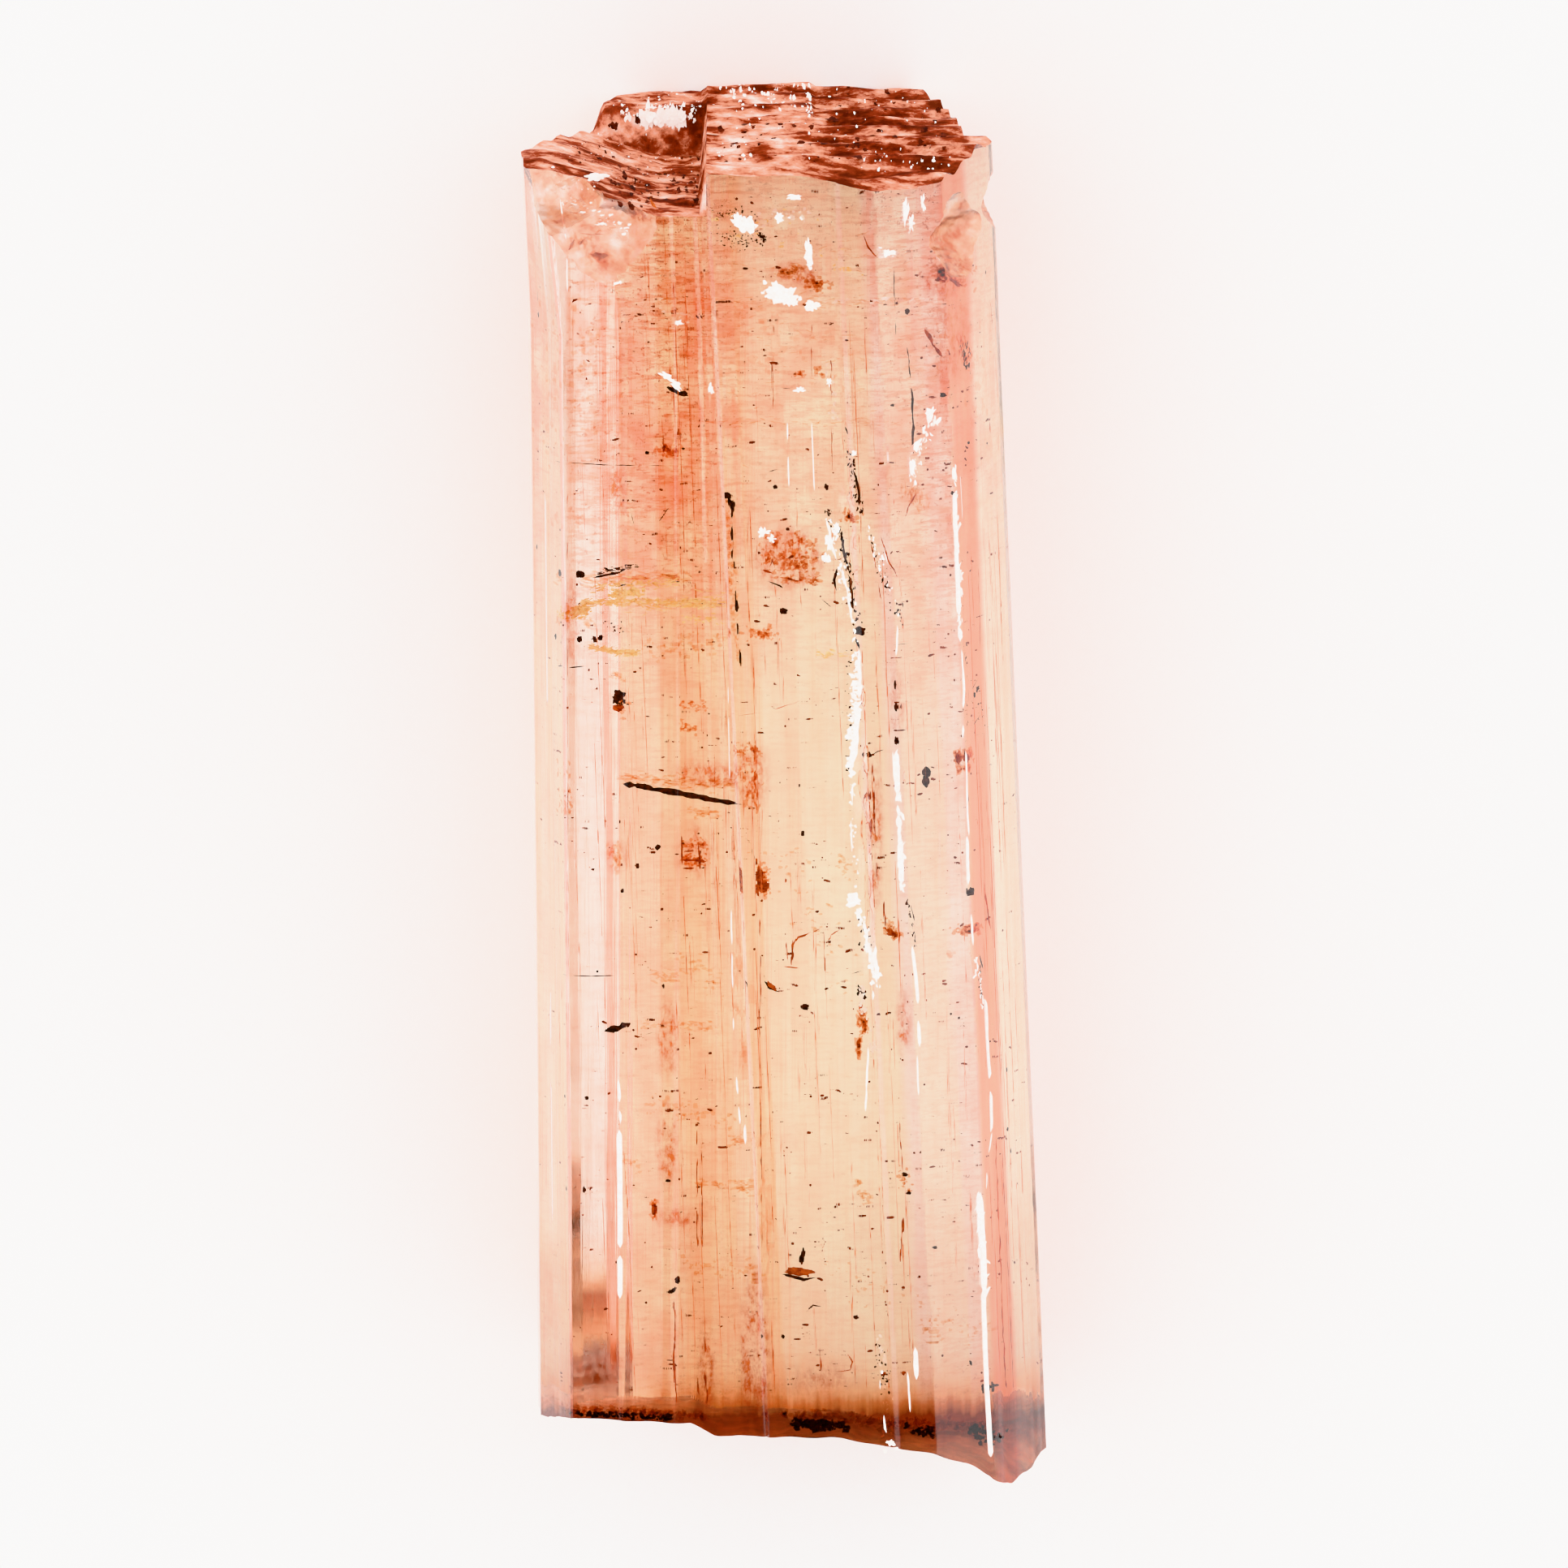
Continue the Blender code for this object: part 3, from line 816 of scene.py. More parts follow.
def add_streak(bm, path, width, depth, seed, broken, step, ragged):
    """A ragged thread along a path of the photograph's pixels, split into lengths where broken is over 0."""
    points = []
    for (x0, y0), (x1, y1) in zip(path, path[1:]):
        count = max(1, round(math.hypot(x1 - x0, y1 - y0) / STREAK_PIXELS / step))
        points += [inside(mix(x0, x1, i / count), mix(y0, y1, i / count), depth) for i in range(count)]
    points.append(inside(*path[-1], depth))
    length, rows, row = len(points) - 1, [], []
    for i, point in enumerate(points):
        wander = ragged * noise.noise(Vector((i * 0.37, seed, 1.5)))
        size = width * (0.8 + 0.8 * ragged * noise.noise(Vector((i * 0.61, seed, 4.5))))
        size *= smooth(-0.5, 1.5, min(i, length - i))
        if size < 0.05 * width or noise.noise(Vector((i * 0.23, seed, 8.5))) + 0.5 < broken:
            rows.append(row)
            row = []
        else:
            row.append((point + Vector((wander * width * 1.6, 0.0, 0.0)), size))
    rows.append(row)
    for row in rows:
        if len(row) < 3:
            continue
        rings = []
        for i, (point, size) in enumerate(row):
            ahead = row[min(i + 1, len(row) - 1)][0] - row[max(i - 1, 0)][0]
            taper = 0.25 if i in (0, len(row) - 1) else 1.0
            side = Vector((ahead.y, -ahead.x, 0.0)).normalized() * size * taper
            lift = Vector((0.0, 0.0, min(0.5 * size, 0.02)))
            rings.append([bm.verts.new(point + way) for way in (side, lift, -side, -lift)])
        for ring, after in zip(rings, rings[1:]):
            for k in range(4):
                bm.faces.new((ring[k], ring[(k + 1) % 4], after[(k + 1) % 4], after[k]))
        bm.faces.new(rings[0])
        bm.faces.new(reversed(rings[-1]))


# Dark grains: pixel of the photograph, depth, half sizes across and along the picture, turn in degrees
DARK_GRAINS = (
    (715, 708, 0.9, 0.10, 0.10, 0), (714, 788, 1.3, 0.07, 0.07, 0), (733, 788, 1.2, 0.06, 0.08, 20),
    (740, 786, 1.2, 0.07, 0.06, 40), (763, 857, 0.6, 0.15, 0.13, 0), (769, 1098, 1.0, 0.06, 0.05, 0),
    (810, 1044, 0.8, 0.07, 0.06, 30), (765, 1013, 1.5, 0.03, 0.04, 0), (989, 1027, 1.1, 0.06, 0.07, 0),
    (991, 1241, 1.4, 0.07, 0.08, 0), (833, 1577, 1.0, 0.08, 0.09, 25), (827, 1590, 1.0, 0.04, 0.10, -35),
    (1137, 952, 0.7, 0.10, 0.13, -5), (1136, 962, 0.7, 0.09, 0.16, 0), (757, 1268, 1.2, 0.20, 0.08, 8),
    (770, 1264, 1.2, 0.13, 0.07, 28), (1210, 1711, 0.6, 0.11, 0.12, 0), (1218, 1709, 0.6, 0.10, 0.03, 0),
    (1158, 487, 0.6, 0.07, 0.06, 0), (830, 481, 0.5, 0.14, 0.06, -35), (841, 485, 0.5, 0.13, 0.06, -10),
    (672, 390, 0.7, 0.04, 0.07, 0), (671, 368, 0.7, 0.02, 0.15, 0), (896, 611, 1.0, 0.09, 0.08, 0),
    (903, 622, 1.0, 0.05, 0.10, 0), (984, 968, 1.2, 0.04, 0.04, 0), (1105, 913, 0.6, 0.05, 0.10, 0),
    (1209, 337, 0.4, 0.03, 0.05, 0), (1211, 548, 0.4, 0.04, 0.03, 0), (1060, 777, 0.15, 0.13, 0.10, 0),
    (1061, 1222, 0.4, 0.10, 0.09, 15), (1198, 850, 0.5, 0.08, 0.05, 35), (1194, 858, 0.5, 0.04, 0.07, 0),
    (1071, 930, 0.9, 0.06, 0.07, 20), (1115, 1447, 0.8, 0.07, 0.05, -20), (1120, 1470, 0.8, 0.05, 0.04, 0),
    (965, 1647, 1.2, 0.06, 0.05, 0), (1055, 1623, 1.0, 0.06, 0.05, 0), (1145, 1538, 1.0, 0.06, 0.04, 0),
    (1190, 1680, 0.8, 0.03, 0.07, 25), (720, 1466, 0.8, 0.04, 0.07, 0), (824, 1455, 1.0, 0.05, 0.04, 0),
    (1166, 1250, 0.8, 0.03, 0.03, 0), (1176, 1255, 0.8, 0.03, 0.03, 0), (1188, 1100, 0.6, 0.04, 0.10, 0),
    (1200, 1200, 0.5, 0.05, 0.04, 0), (723, 1353, 1.0, 0.05, 0.05, 0), (818, 1215, 1.0, 0.04, 0.06, 0),
    (785, 1067, 1.0, 0.05, 0.07, 40), (668, 676, 0.5, 0.04, 0.07, 0), (1094, 500, 0.9, 0.05, 0.03, 0),
    (955, 600, 1.0, 0.05, 0.05, 30), (1018, 600, 1.0, 0.04, 0.09, 10), (965, 753, 0.9, 0.07, 0.08, 30),
    (736, 1197, 0.3, 0.03, 0.03, 0), (1235, 1320, 0.4, 0.04, 0.06, 0), (1236, 1393, 0.4, 0.05, 0.05, 0),
    (1240, 1420, 0.4, 0.03, 0.07, 0), (842, 553, 1.1, 0.03, 0.03, 0), (918, 331, 0.8, 0.07, 0.03, 0),
    (1115, 384, 0.4, 0.06, 0.07, 0), (1188, 547, 0.4, 0.05, 0.04, 0), (1170, 608, 0.4, 0.03, 0.05, 0),
    (989, 1548, 1.0, 0.06, 0.20, -8), (797, 558, 0.8, 0.05, 0.04, 0), (970, 652, 0.8, 0.05, 0.04, 0),
)
RUST_GRAINS = (
    (763, 872, 0.8, 0.13, 0.09, 0), (984, 1567, 1.05, 0.36, 0.09, -4), (930, 1062, 1.0, 0.03, 0.08, 0),
    (935, 1080, 1.0, 0.13, 0.16, 10), (940, 1092, 1.0, 0.16, 0.13, 15), (932, 1095, 1.0, 0.05, 0.15, 0),
    (1161, 333, 0.5, 0.16, 0.05, -20), (1170, 350, 0.5, 0.24, 0.05, -22), (1152, 345, 0.6, 0.08, 0.04, 10),
    (1098, 1150, 0.8, 0.14, 0.06, -25), (835, 533, 1.1, 0.07, 0.08, 0), (703, 303, 0.15, 0.03, 0.12, -35),
    (716, 300, 0.15, 0.03, 0.10, -35), (738, 316, 0.15, 0.20, 0.05, -12), (951, 1215, 1.0, 0.15, 0.05, -42),
    (806, 1490, 1.4, 0.07, 0.12, 0), (1088, 1693, 0.9, 0.06, 0.04, 0), (1113, 1692, 0.9, 0.05, 0.04, 0),
    (1175, 937, 0.9, 0.06, 0.11, 0), (968, 1085, 1.1, 0.03, 0.05, 0), (1060, 1240, 0.5, 0.04, 0.10, 0),
)
# Painted glints on the skin, white flakes over small chips and pits: pixel, half sizes across and along, turn
# in degrees
SKIN_GLINTS = (
    (957, 358, 0.24, 0.22, 10), (972, 366, 0.26, 0.24, 40), (948, 362, 0.14, 0.10, 0),
    (1001, 377, 0.17, 0.14, 0), (918, 276, 0.20, 0.20, 20), (909, 270, 0.10, 0.14, 0),
    (960, 268, 0.11, 0.14, 0), (996, 312, 0.09, 0.30, 4), (978, 243, 0.18, 0.06, 0),
    (1092, 312, 0.18, 0.10, 0), (822, 464, 0.18, 0.07, -30), (832, 474, 0.18, 0.07, -40),
    (876, 480, 0.07, 0.13, 0), (834, 398, 0.12, 0.06, 0), (941, 656, 0.14, 0.12, 0),
    (951, 664, 0.10, 0.08, 0), (1144, 512, 0.22, 0.10, 55), (1152, 520, 0.14, 0.10, 50),
    (1127, 552, 0.24, 0.08, 42), (1122, 575, 0.09, 0.28, 8), (1115, 262, 0.08, 0.32, -10),
    (1122, 276, 0.09, 0.20, 0), (1137, 250, 0.06, 0.22, 5), (1052, 1110, 0.16, 0.18, 0),
    (1058, 1125, 0.08, 0.14, 10), (1076, 1185, 0.10, 0.20, 0), (1080, 1200, 0.12, 0.16, 0),
    (735, 218, 0.25, 0.10, 0), (700, 225, 0.30, 0.12, 20), (765, 348, 0.20, 0.05, 15),
    (1030, 650, 0.08, 0.14, 0), (1022, 668, 0.10, 0.18, 0), (1018, 688, 0.10, 0.12, 0),
    (1052, 558, 0.06, 0.07, 0), (1098, 1778, 0.12, 0.08, -20), (1106, 1785, 0.10, 0.04, 0),
    (985, 480, 0.10, 0.06, 0), (1021, 470, 0.07, 0.10, 0), (720, 262, 0.12, 0.03, 0),
    (740, 276, 0.12, 0.03, 5),
)

# Threads: path in the photograph's pixels, half width, depth, how broken
DARK_THREADS = (
    (((898, 612), (903, 640)), 0.050, 1.0, 0.0), (((902, 640), (903, 690)), 0.030, 1.0, 0.25),
    (((904, 690), (908, 760)), 0.045, 1.0, 0.35), (((908, 765), (911, 800), (913, 822)), 0.022, 1.0, 0.2),
    (((765, 966), (785, 968), (815, 975), (845, 978)), 0.075, 0.20, 0.0),
    (((780, 967), (830, 976), (880, 986), (917, 992)), 0.080, 0.20, 0.0),
    (((703, 1202), (728, 1203), (757, 1202)), 0.022, 0.6, 0.0),
    (((700, 823), (720, 821), (738, 824)), 0.020, 0.7, 0.1),
    (((700, 570), (745, 573), (820, 574)), 0.012, 0.8, 0.35),
    (((730, 712), (762, 706), (785, 698)), 0.028, 1.2, 0.15),
    (((748, 725), (790, 718), (842, 717)), 0.022, 1.4, 0.25),
    (((850, 738), (870, 745), (890, 744)), 0.020, 1.0, 0.25),
    (((1035, 655), (1040, 680), (1046, 705)), 0.030, 0.16, 0.5),
    (((1046, 708), (1052, 740), (1058, 775)), 0.050, 0.16, 0.3),
    (((1043, 525), (1050, 560)), 0.028, 0.30, 0.1),
    (((1050, 562), (1056, 600), (1060, 640)), 0.030, 0.22, 0.40),
    (((1055, 785), (1060, 800)), 0.04, 0.3, 0.0),
    (((1098, 330), (1100, 380), (1103, 430)), 0.016, 0.40, 0.25),
    (((1112, 400), (1116, 440), (1121, 500), (1122, 560)), 0.028, 0.40, 0.10),
    (((1103, 838), (1105, 866), (1106, 894)), 0.035, 0.8, 0.3),
    (((1180, 780), (1190, 830), (1192, 905), (1188, 920)), 0.012, 0.20, 0.35),
    (((1186, 920), (1188, 960), (1192, 1000)), 0.014, 0.20, 0.1),
    (((1205, 1175), (1209, 1195)), 0.05, 0.16, 0.2), (((1206, 1215), (1208, 1240)), 0.04, 0.16, 0.2),
    (((965, 1570), (990, 1577), (1005, 1574)), 0.040, 0.95, 0.0),
    (((940, 1208), (950, 1218), (960, 1223)), 0.03, 1.0, 0.0),
    (((1072, 932), (1082, 926), (1090, 924)), 0.016, 0.9, 0.0), (((1110, 740), (1113, 775)), 0.020, 0.3, 0.1),
    (((1100, 795), (1118, 793)), 0.018, 0.4, 0.0),
    (((1120, 1110), (1125, 1135), (1127, 1160)), 0.018, 0.2, 0.1),
    (((945, 716), (962, 722), (978, 733)), 0.022, 0.9, 0.0),
    (((1012, 738), (1020, 745), (1028, 752)), 0.020, 0.9, 0.0),
    (((1030, 700), (1028, 715), (1031, 728)), 0.035, 0.5, 0.1),
    (((855, 475), (862, 472), (868, 475)), 0.012, 0.5, 0.0),
    (((812, 643), (822, 630), (826, 625)), 0.016, 0.8, 0.0), (((776, 628), (782, 650)), 0.012, 0.8, 0.0),
    (((795, 1275), (805, 1272)), 0.014, 1.0, 0.0),
    (((994, 1616), (1002, 1608), (1010, 1610)), 0.020, 1.0, 0.0),
    (((1050, 1200), (1062, 1196)), 0.018, 0.5, 0.0), (((958, 578), (946, 582)), 0.014, 1.0, 0.0),
    (((1202, 835), (1193, 852)), 0.016, 0.3, 0.0), (((1205, 880), (1195, 896)), 0.014, 0.3, 0.2),
    (((1205, 905), (1196, 908)), 0.012, 0.3, 0.2), (((962, 478), (975, 479)), 0.014, 0.9, 0.0),
    (((918, 1032), (925, 1040)), 0.018, 1.0, 0.0), (((926, 1045), (928, 1060)), 0.014, 1.0, 0.0),
)
RUST_THREADS = (
    (((975, 1190), (977, 1165), (985, 1155), (1000, 1148)), 0.025, 0.9, 0.1),
    (((969, 1160), (971, 1190)), 0.020, 0.9, 0.0), (((977, 1158), (976, 1190)), 0.020, 0.9, 0.0),
    (((965, 1191), (985, 1193)), 0.020, 0.9, 0.1), (((1000, 1150), (1010, 1144)), 0.025, 0.9, 0.0),
    (((1015, 1148), (1017, 1200)), 0.016, 0.9, 0.1),
    (((1017, 1162), (1025, 1152), (1035, 1146)), 0.030, 0.9, 0.0),
    (((838, 1050), (855, 1048), (870, 1050)), 0.035, 1.0, 0.25),
    (((840, 1060), (858, 1060), (872, 1062)), 0.040, 1.0, 0.3), (((840, 1070), (856, 1070)), 0.030, 1.0, 0.2),
    (((840, 1028), (841, 1072)), 0.020, 1.1, 0.1), (((861, 1040), (862, 1072)), 0.035, 1.1, 0.1),
    (((905, 1035), (918, 1030)), 0.012, 1.0, 0.2), (((948, 700), (952, 690), (956, 700)), 0.03, 0.9, 0.1),
    (((940, 702), (955, 708)), 0.04, 0.9, 0.1), (((965, 712), (985, 716)), 0.035, 0.9, 0.2),
    (((975, 640), (982, 636)), 0.05, 0.9, 0.0), (((1125, 605), (1116, 622), (1110, 640)), 0.025, 0.7, 0.2),
    (((1133, 595), (1124, 618)), 0.018, 0.7, 0.2), (((1085, 660), (1095, 690), (1103, 712)), 0.014, 0.4, 0.2),
    (((1068, 655), (1078, 690), (1086, 740)), 0.014, 0.4, 0.2),
    (((910, 882), (950, 876), (985, 864)), 0.008, 1.0, 0.1),
    (((1065, 290), (1070, 305), (1080, 318)), 0.022, 0.4, 0.0),
    (((1135, 405), (1145, 425), (1158, 440)), 0.050, 0.7, 0.1),
    (((1010, 1660), (1012, 1700)), 0.010, 1.0, 0.2),
    (((1043, 1668), (1050, 1678), (1047, 1688), (1036, 1690), (1030, 1690)), 0.016, 1.0, 0.0),
    (((1013, 1526), (1018, 1530), (1014, 1538), (1010, 1532)), 0.014, 1.0, 0.0),
    (((860, 1660), (861, 1730)), 0.016, 1.0, 0.2), (((828, 1600), (830, 1730)), 0.030, 1.0, 0.1),
    (((868, 1640), (871, 1730)), 0.026, 1.2, 0.2), (((858, 1390), (859, 1540)), 0.016, 1.0, 0.1),
    (((865, 1395), (866, 1560)), 0.012, 1.0, 0.1), (((935, 1230), (940, 1560)), 0.012, 0.8, 0.2),
    (((934, 1100), (936, 1240)), 0.016, 0.8, 0.2), (((928, 1385), (930, 1480)), 0.022, 0.8, 0.2),
    (((1108, 1380), (1112, 1445)), 0.016, 0.5, 0.2), (((1112, 1500), (1110, 1560)), 0.030, 0.9, 0.2),
    (((1075, 940), (1078, 1010), (1082, 1090)), 0.020, 1.5, 0.2),
    (((1070, 955), (1073, 1040), (1078, 1140)), 0.014, 1.5, 0.2),
    (((1088, 1110), (1092, 1150)), 0.020, 1.0, 0.2),
    (((1220, 1400), (1226, 1560), (1234, 1740)), 0.030, 0.5, 0.05),
    (((1228, 1420), (1236, 1600), (1242, 1720)), 0.018, 0.5, 0.1),
    (((1206, 1090), (1214, 1150)), 0.045, 0.5, 0.1), (((1198, 700), (1201, 800)), 0.014, 0.5, 0.1),
    (((1205, 900), (1210, 1040)), 0.010, 0.5, 0.2),
    (((1228, 560), (1226, 480), (1218, 380), (1213, 350)), 0.012, 0.2, 0.2),
    (((1214, 520), (1218, 545)), 0.05, 0.3, 0.3),
    (((699, 560), (699, 900), (700, 1300), (701, 1735)), 0.008, 0.15, 0.35),
    (((842, 640), (843, 830)), 0.006, 0.3, 0.1), (((952, 400), (953, 520)), 0.010, 1.0, 0.2),
    (((1000, 400), (1001, 470)), 0.012, 1.0, 0.2), (((1023, 440), (1026, 580)), 0.010, 1.0, 0.3),
    (((885, 380), (884, 450)), 0.012, 1.0, 0.3), (((700, 286), (730, 290), (760, 288)), 0.016, 0.1, 0.3),
    (((700, 262), (735, 270)), 0.014, 0.1, 0.3), (((800, 245), (815, 262)), 0.05, 0.2, 0.0),
    (((925, 1400), (927, 1460)), 0.02, 0.9, 0.1),
)
# White chipped edges on the skin, partly painted glint: path, half width, how broken, how ragged
WHITE_THREADS = (
    (((1018, 640), (1024, 665), (1030, 690)), 0.035, 0.15, 0.6),
    (((1038, 700), (1044, 730), (1050, 765)), 0.030, 0.20, 0.6),
    (((1058, 800), (1060, 830), (1058, 860)), 0.060, 0.05, 0.5),
    (((1056, 868), (1054, 905), (1050, 950)), 0.095, 0.05, 0.5),
    (((1050, 965), (1049, 1000), (1050, 1060)), 0.030, 0.45, 0.8),
    (((1064, 1135), (1070, 1165), (1075, 1180)), 0.050, 0.20, 0.6),
    (((1078, 1165), (1080, 1210)), 0.070, 0.0, 0.4), (((1076, 1215), (1075, 1260)), 0.040, 0.3, 0.6),
    (((1070, 1290), (1066, 1390)), 0.025, 0.35, 0.6),
    (((1104, 925), (1107, 1000), (1111, 1090)), 0.085, 0.0, 0.18),
    (((1100, 925), (1103, 990)), 0.020, 0.0, 0.1),
    (((1124, 1165), (1130, 1220), (1133, 1290)), 0.050, 0.0, 0.18),
    (((1130, 1300), (1132, 1350)), 0.025, 0.3, 0.4), (((1106, 770), (1104, 840)), 0.030, 0.4, 0.5),
    (((1175, 575), (1177, 650), (1180, 720), (1183, 790)), 0.075, 0.0, 0.10),
    (((1185, 800), (1187, 850), (1187, 910)), 0.040, 0.15, 0.35),
    (((1190, 925), (1192, 1000), (1194, 1030)), 0.030, 0.10, 0.2),
    (((1191, 1030), (1193, 1090)), 0.060, 0.0, 0.15), (((1195, 1100), (1199, 1170)), 0.035, 0.1, 0.3),
    (((1204, 1185), (1207, 1235)), 0.060, 0.35, 0.6),
    (((1213, 1230), (1216, 1290), (1220, 1345), (1221, 1395)), 0.075, 0.0, 0.12),
    (((1222, 1395), (1217, 1430), (1215, 1465)), 0.030, 0.15, 0.3),
    (((1206, 1470), (1210, 1540), (1212, 1590)), 0.125, 0.0, 0.04),
    (((1211, 1590), (1215, 1700), (1221, 1800)), 0.085, 0.0, 0.06),
    (((762, 1330), (764, 1385)), 0.045, 0.2, 0.3),
    (((763, 1392), (764, 1500), (764, 1600)), 0.085, 0.0, 0.05),
    (((901, 1120), (902, 1180), (904, 1270)), 0.022, 0.35, 0.2),
    (((905, 1290), (912, 1390)), 0.030, 0.2, 0.2), (((918, 1385), (918, 1410)), 0.045, 0.0, 0.2),
    (((897, 840), (899, 960)), 0.012, 0.1, 0.1), (((970, 520), (972, 600)), 0.022, 0.2, 0.1),
    (((1000, 520), (1004, 620)), 0.018, 0.3, 0.1), (((690, 245), (698, 300), (699, 360)), 0.020, 0.2, 0.2),
    (((1080, 640), (1095, 700)), 0.012, 0.4, 0.4), (((1128, 1660), (1130, 1700)), 0.07, 0.0, 0.2),
    (((1083, 1690), (1090, 1760), (1100, 1785)), 0.030, 0.6, 0.8),
    (((1118, 1690), (1122, 1740)), 0.030, 0.2, 0.3), (((1183, 585), (1186, 640)), 0.012, 0.2, 0.1),
)
# Scattered flakes: path in pixels, spread, count, half sizes across and along, shallowest and deepest
RUST_FLAKES = (
    (((938, 1068), (940, 1098)), 7, 130, 0.035, 0.045, 0.9, 1.2),
    (((945, 665), (1000, 668)), 7, 60, 0.05, 0.05, 0.8, 1.2),
    (((945, 690), (1000, 695)), 10, 130, 0.05, 0.05, 0.8, 1.2),
    (((960, 712), (1010, 716)), 5, 50, 0.06, 0.03, 0.8, 1.2),
    (((842, 1040), (870, 1040)), 5, 40, 0.04, 0.04, 0.9, 1.2),
    (((842, 1060), (868, 1060)), 7, 60, 0.04, 0.04, 0.9, 1.2),
    (((815, 552), (832, 560)), 6, 36, 0.05, 0.05, 0.9, 1.4),
    (((806, 1480), (806, 1502)), 4, 20, 0.035, 0.07, 1.0, 1.5),
    (((915, 782), (955, 780)), 6, 50, 0.05, 0.05, 0.8, 1.4),
    (((912, 925), (935, 930)), 9, 50, 0.04, 0.06, 1.0, 1.6),
    (((925, 950), (928, 990)), 7, 50, 0.04, 0.09, 1.0, 1.6),
    (((1174, 925), (1176, 950)), 4, 40, 0.04, 0.07, 0.8, 1.1),
    (((1172, 1148), (1192, 1148)), 5, 40, 0.06, 0.05, 0.6, 1.0),
    (((1090, 1140), (1108, 1155)), 6, 50, 0.05, 0.05, 0.7, 1.2),
    (((1061, 1245), (1064, 1270)), 4, 40, 0.04, 0.08, 0.4, 0.8),
    (((1060, 1275), (1058, 1300)), 3, 30, 0.04, 0.07, 0.4, 0.8),
    (((1150, 332), (1185, 345)), 9, 100, 0.08, 0.04, 0.4, 0.9),
    (((1170, 420), (1182, 450)), 5, 60, 0.04, 0.07, 0.6, 1.0),
    (((722, 318), (755, 318)), 4, 50, 0.06, 0.04, 0.15, 0.5),
    (((700, 300), (722, 300)), 6, 40, 0.03, 0.08, 0.15, 0.5),
    (((995, 348), (1018, 352)), 6, 40, 0.07, 0.06, 0.5, 1.0),
    (((983, 458), (990, 462)), 4, 12, 0.04, 0.05, 0.8, 1.0),
    (((1010, 455), (1014, 462)), 4, 10, 0.04, 0.05, 0.8, 1.0),
    (((838, 870), (870, 868)), 6, 30, 0.05, 0.03, 1.0, 1.6),
    (((838, 893), (855, 900)), 5, 26, 0.05, 0.04, 1.0, 1.6),
    (((1040, 634), (1056, 640)), 5, 40, 0.05, 0.05, 0.4, 0.8),
    (((1110, 1440), (1122, 1470)), 5, 20, 0.05, 0.04, 0.6, 1.0),
    (((700, 1736), (870, 1744)), 4, 200, 0.06, 0.05, 0.1, 1.2),
    (((960, 1742), (1080, 1750)), 4, 130, 0.06, 0.05, 0.1, 1.2),
    (((1080, 1752), (1235, 1762)), 6, 150, 0.06, 0.05, 0.1, 1.2),
    (((700, 930), (702, 1010)), 3, 16, 0.03, 0.06, 0.3, 0.8),
    (((765, 862), (768, 878)), 5, 30, 0.05, 0.04, 0.6, 0.9),
    (((780, 262), (800, 268)), 5, 30, 0.06, 0.05, 0.2, 0.5),
)
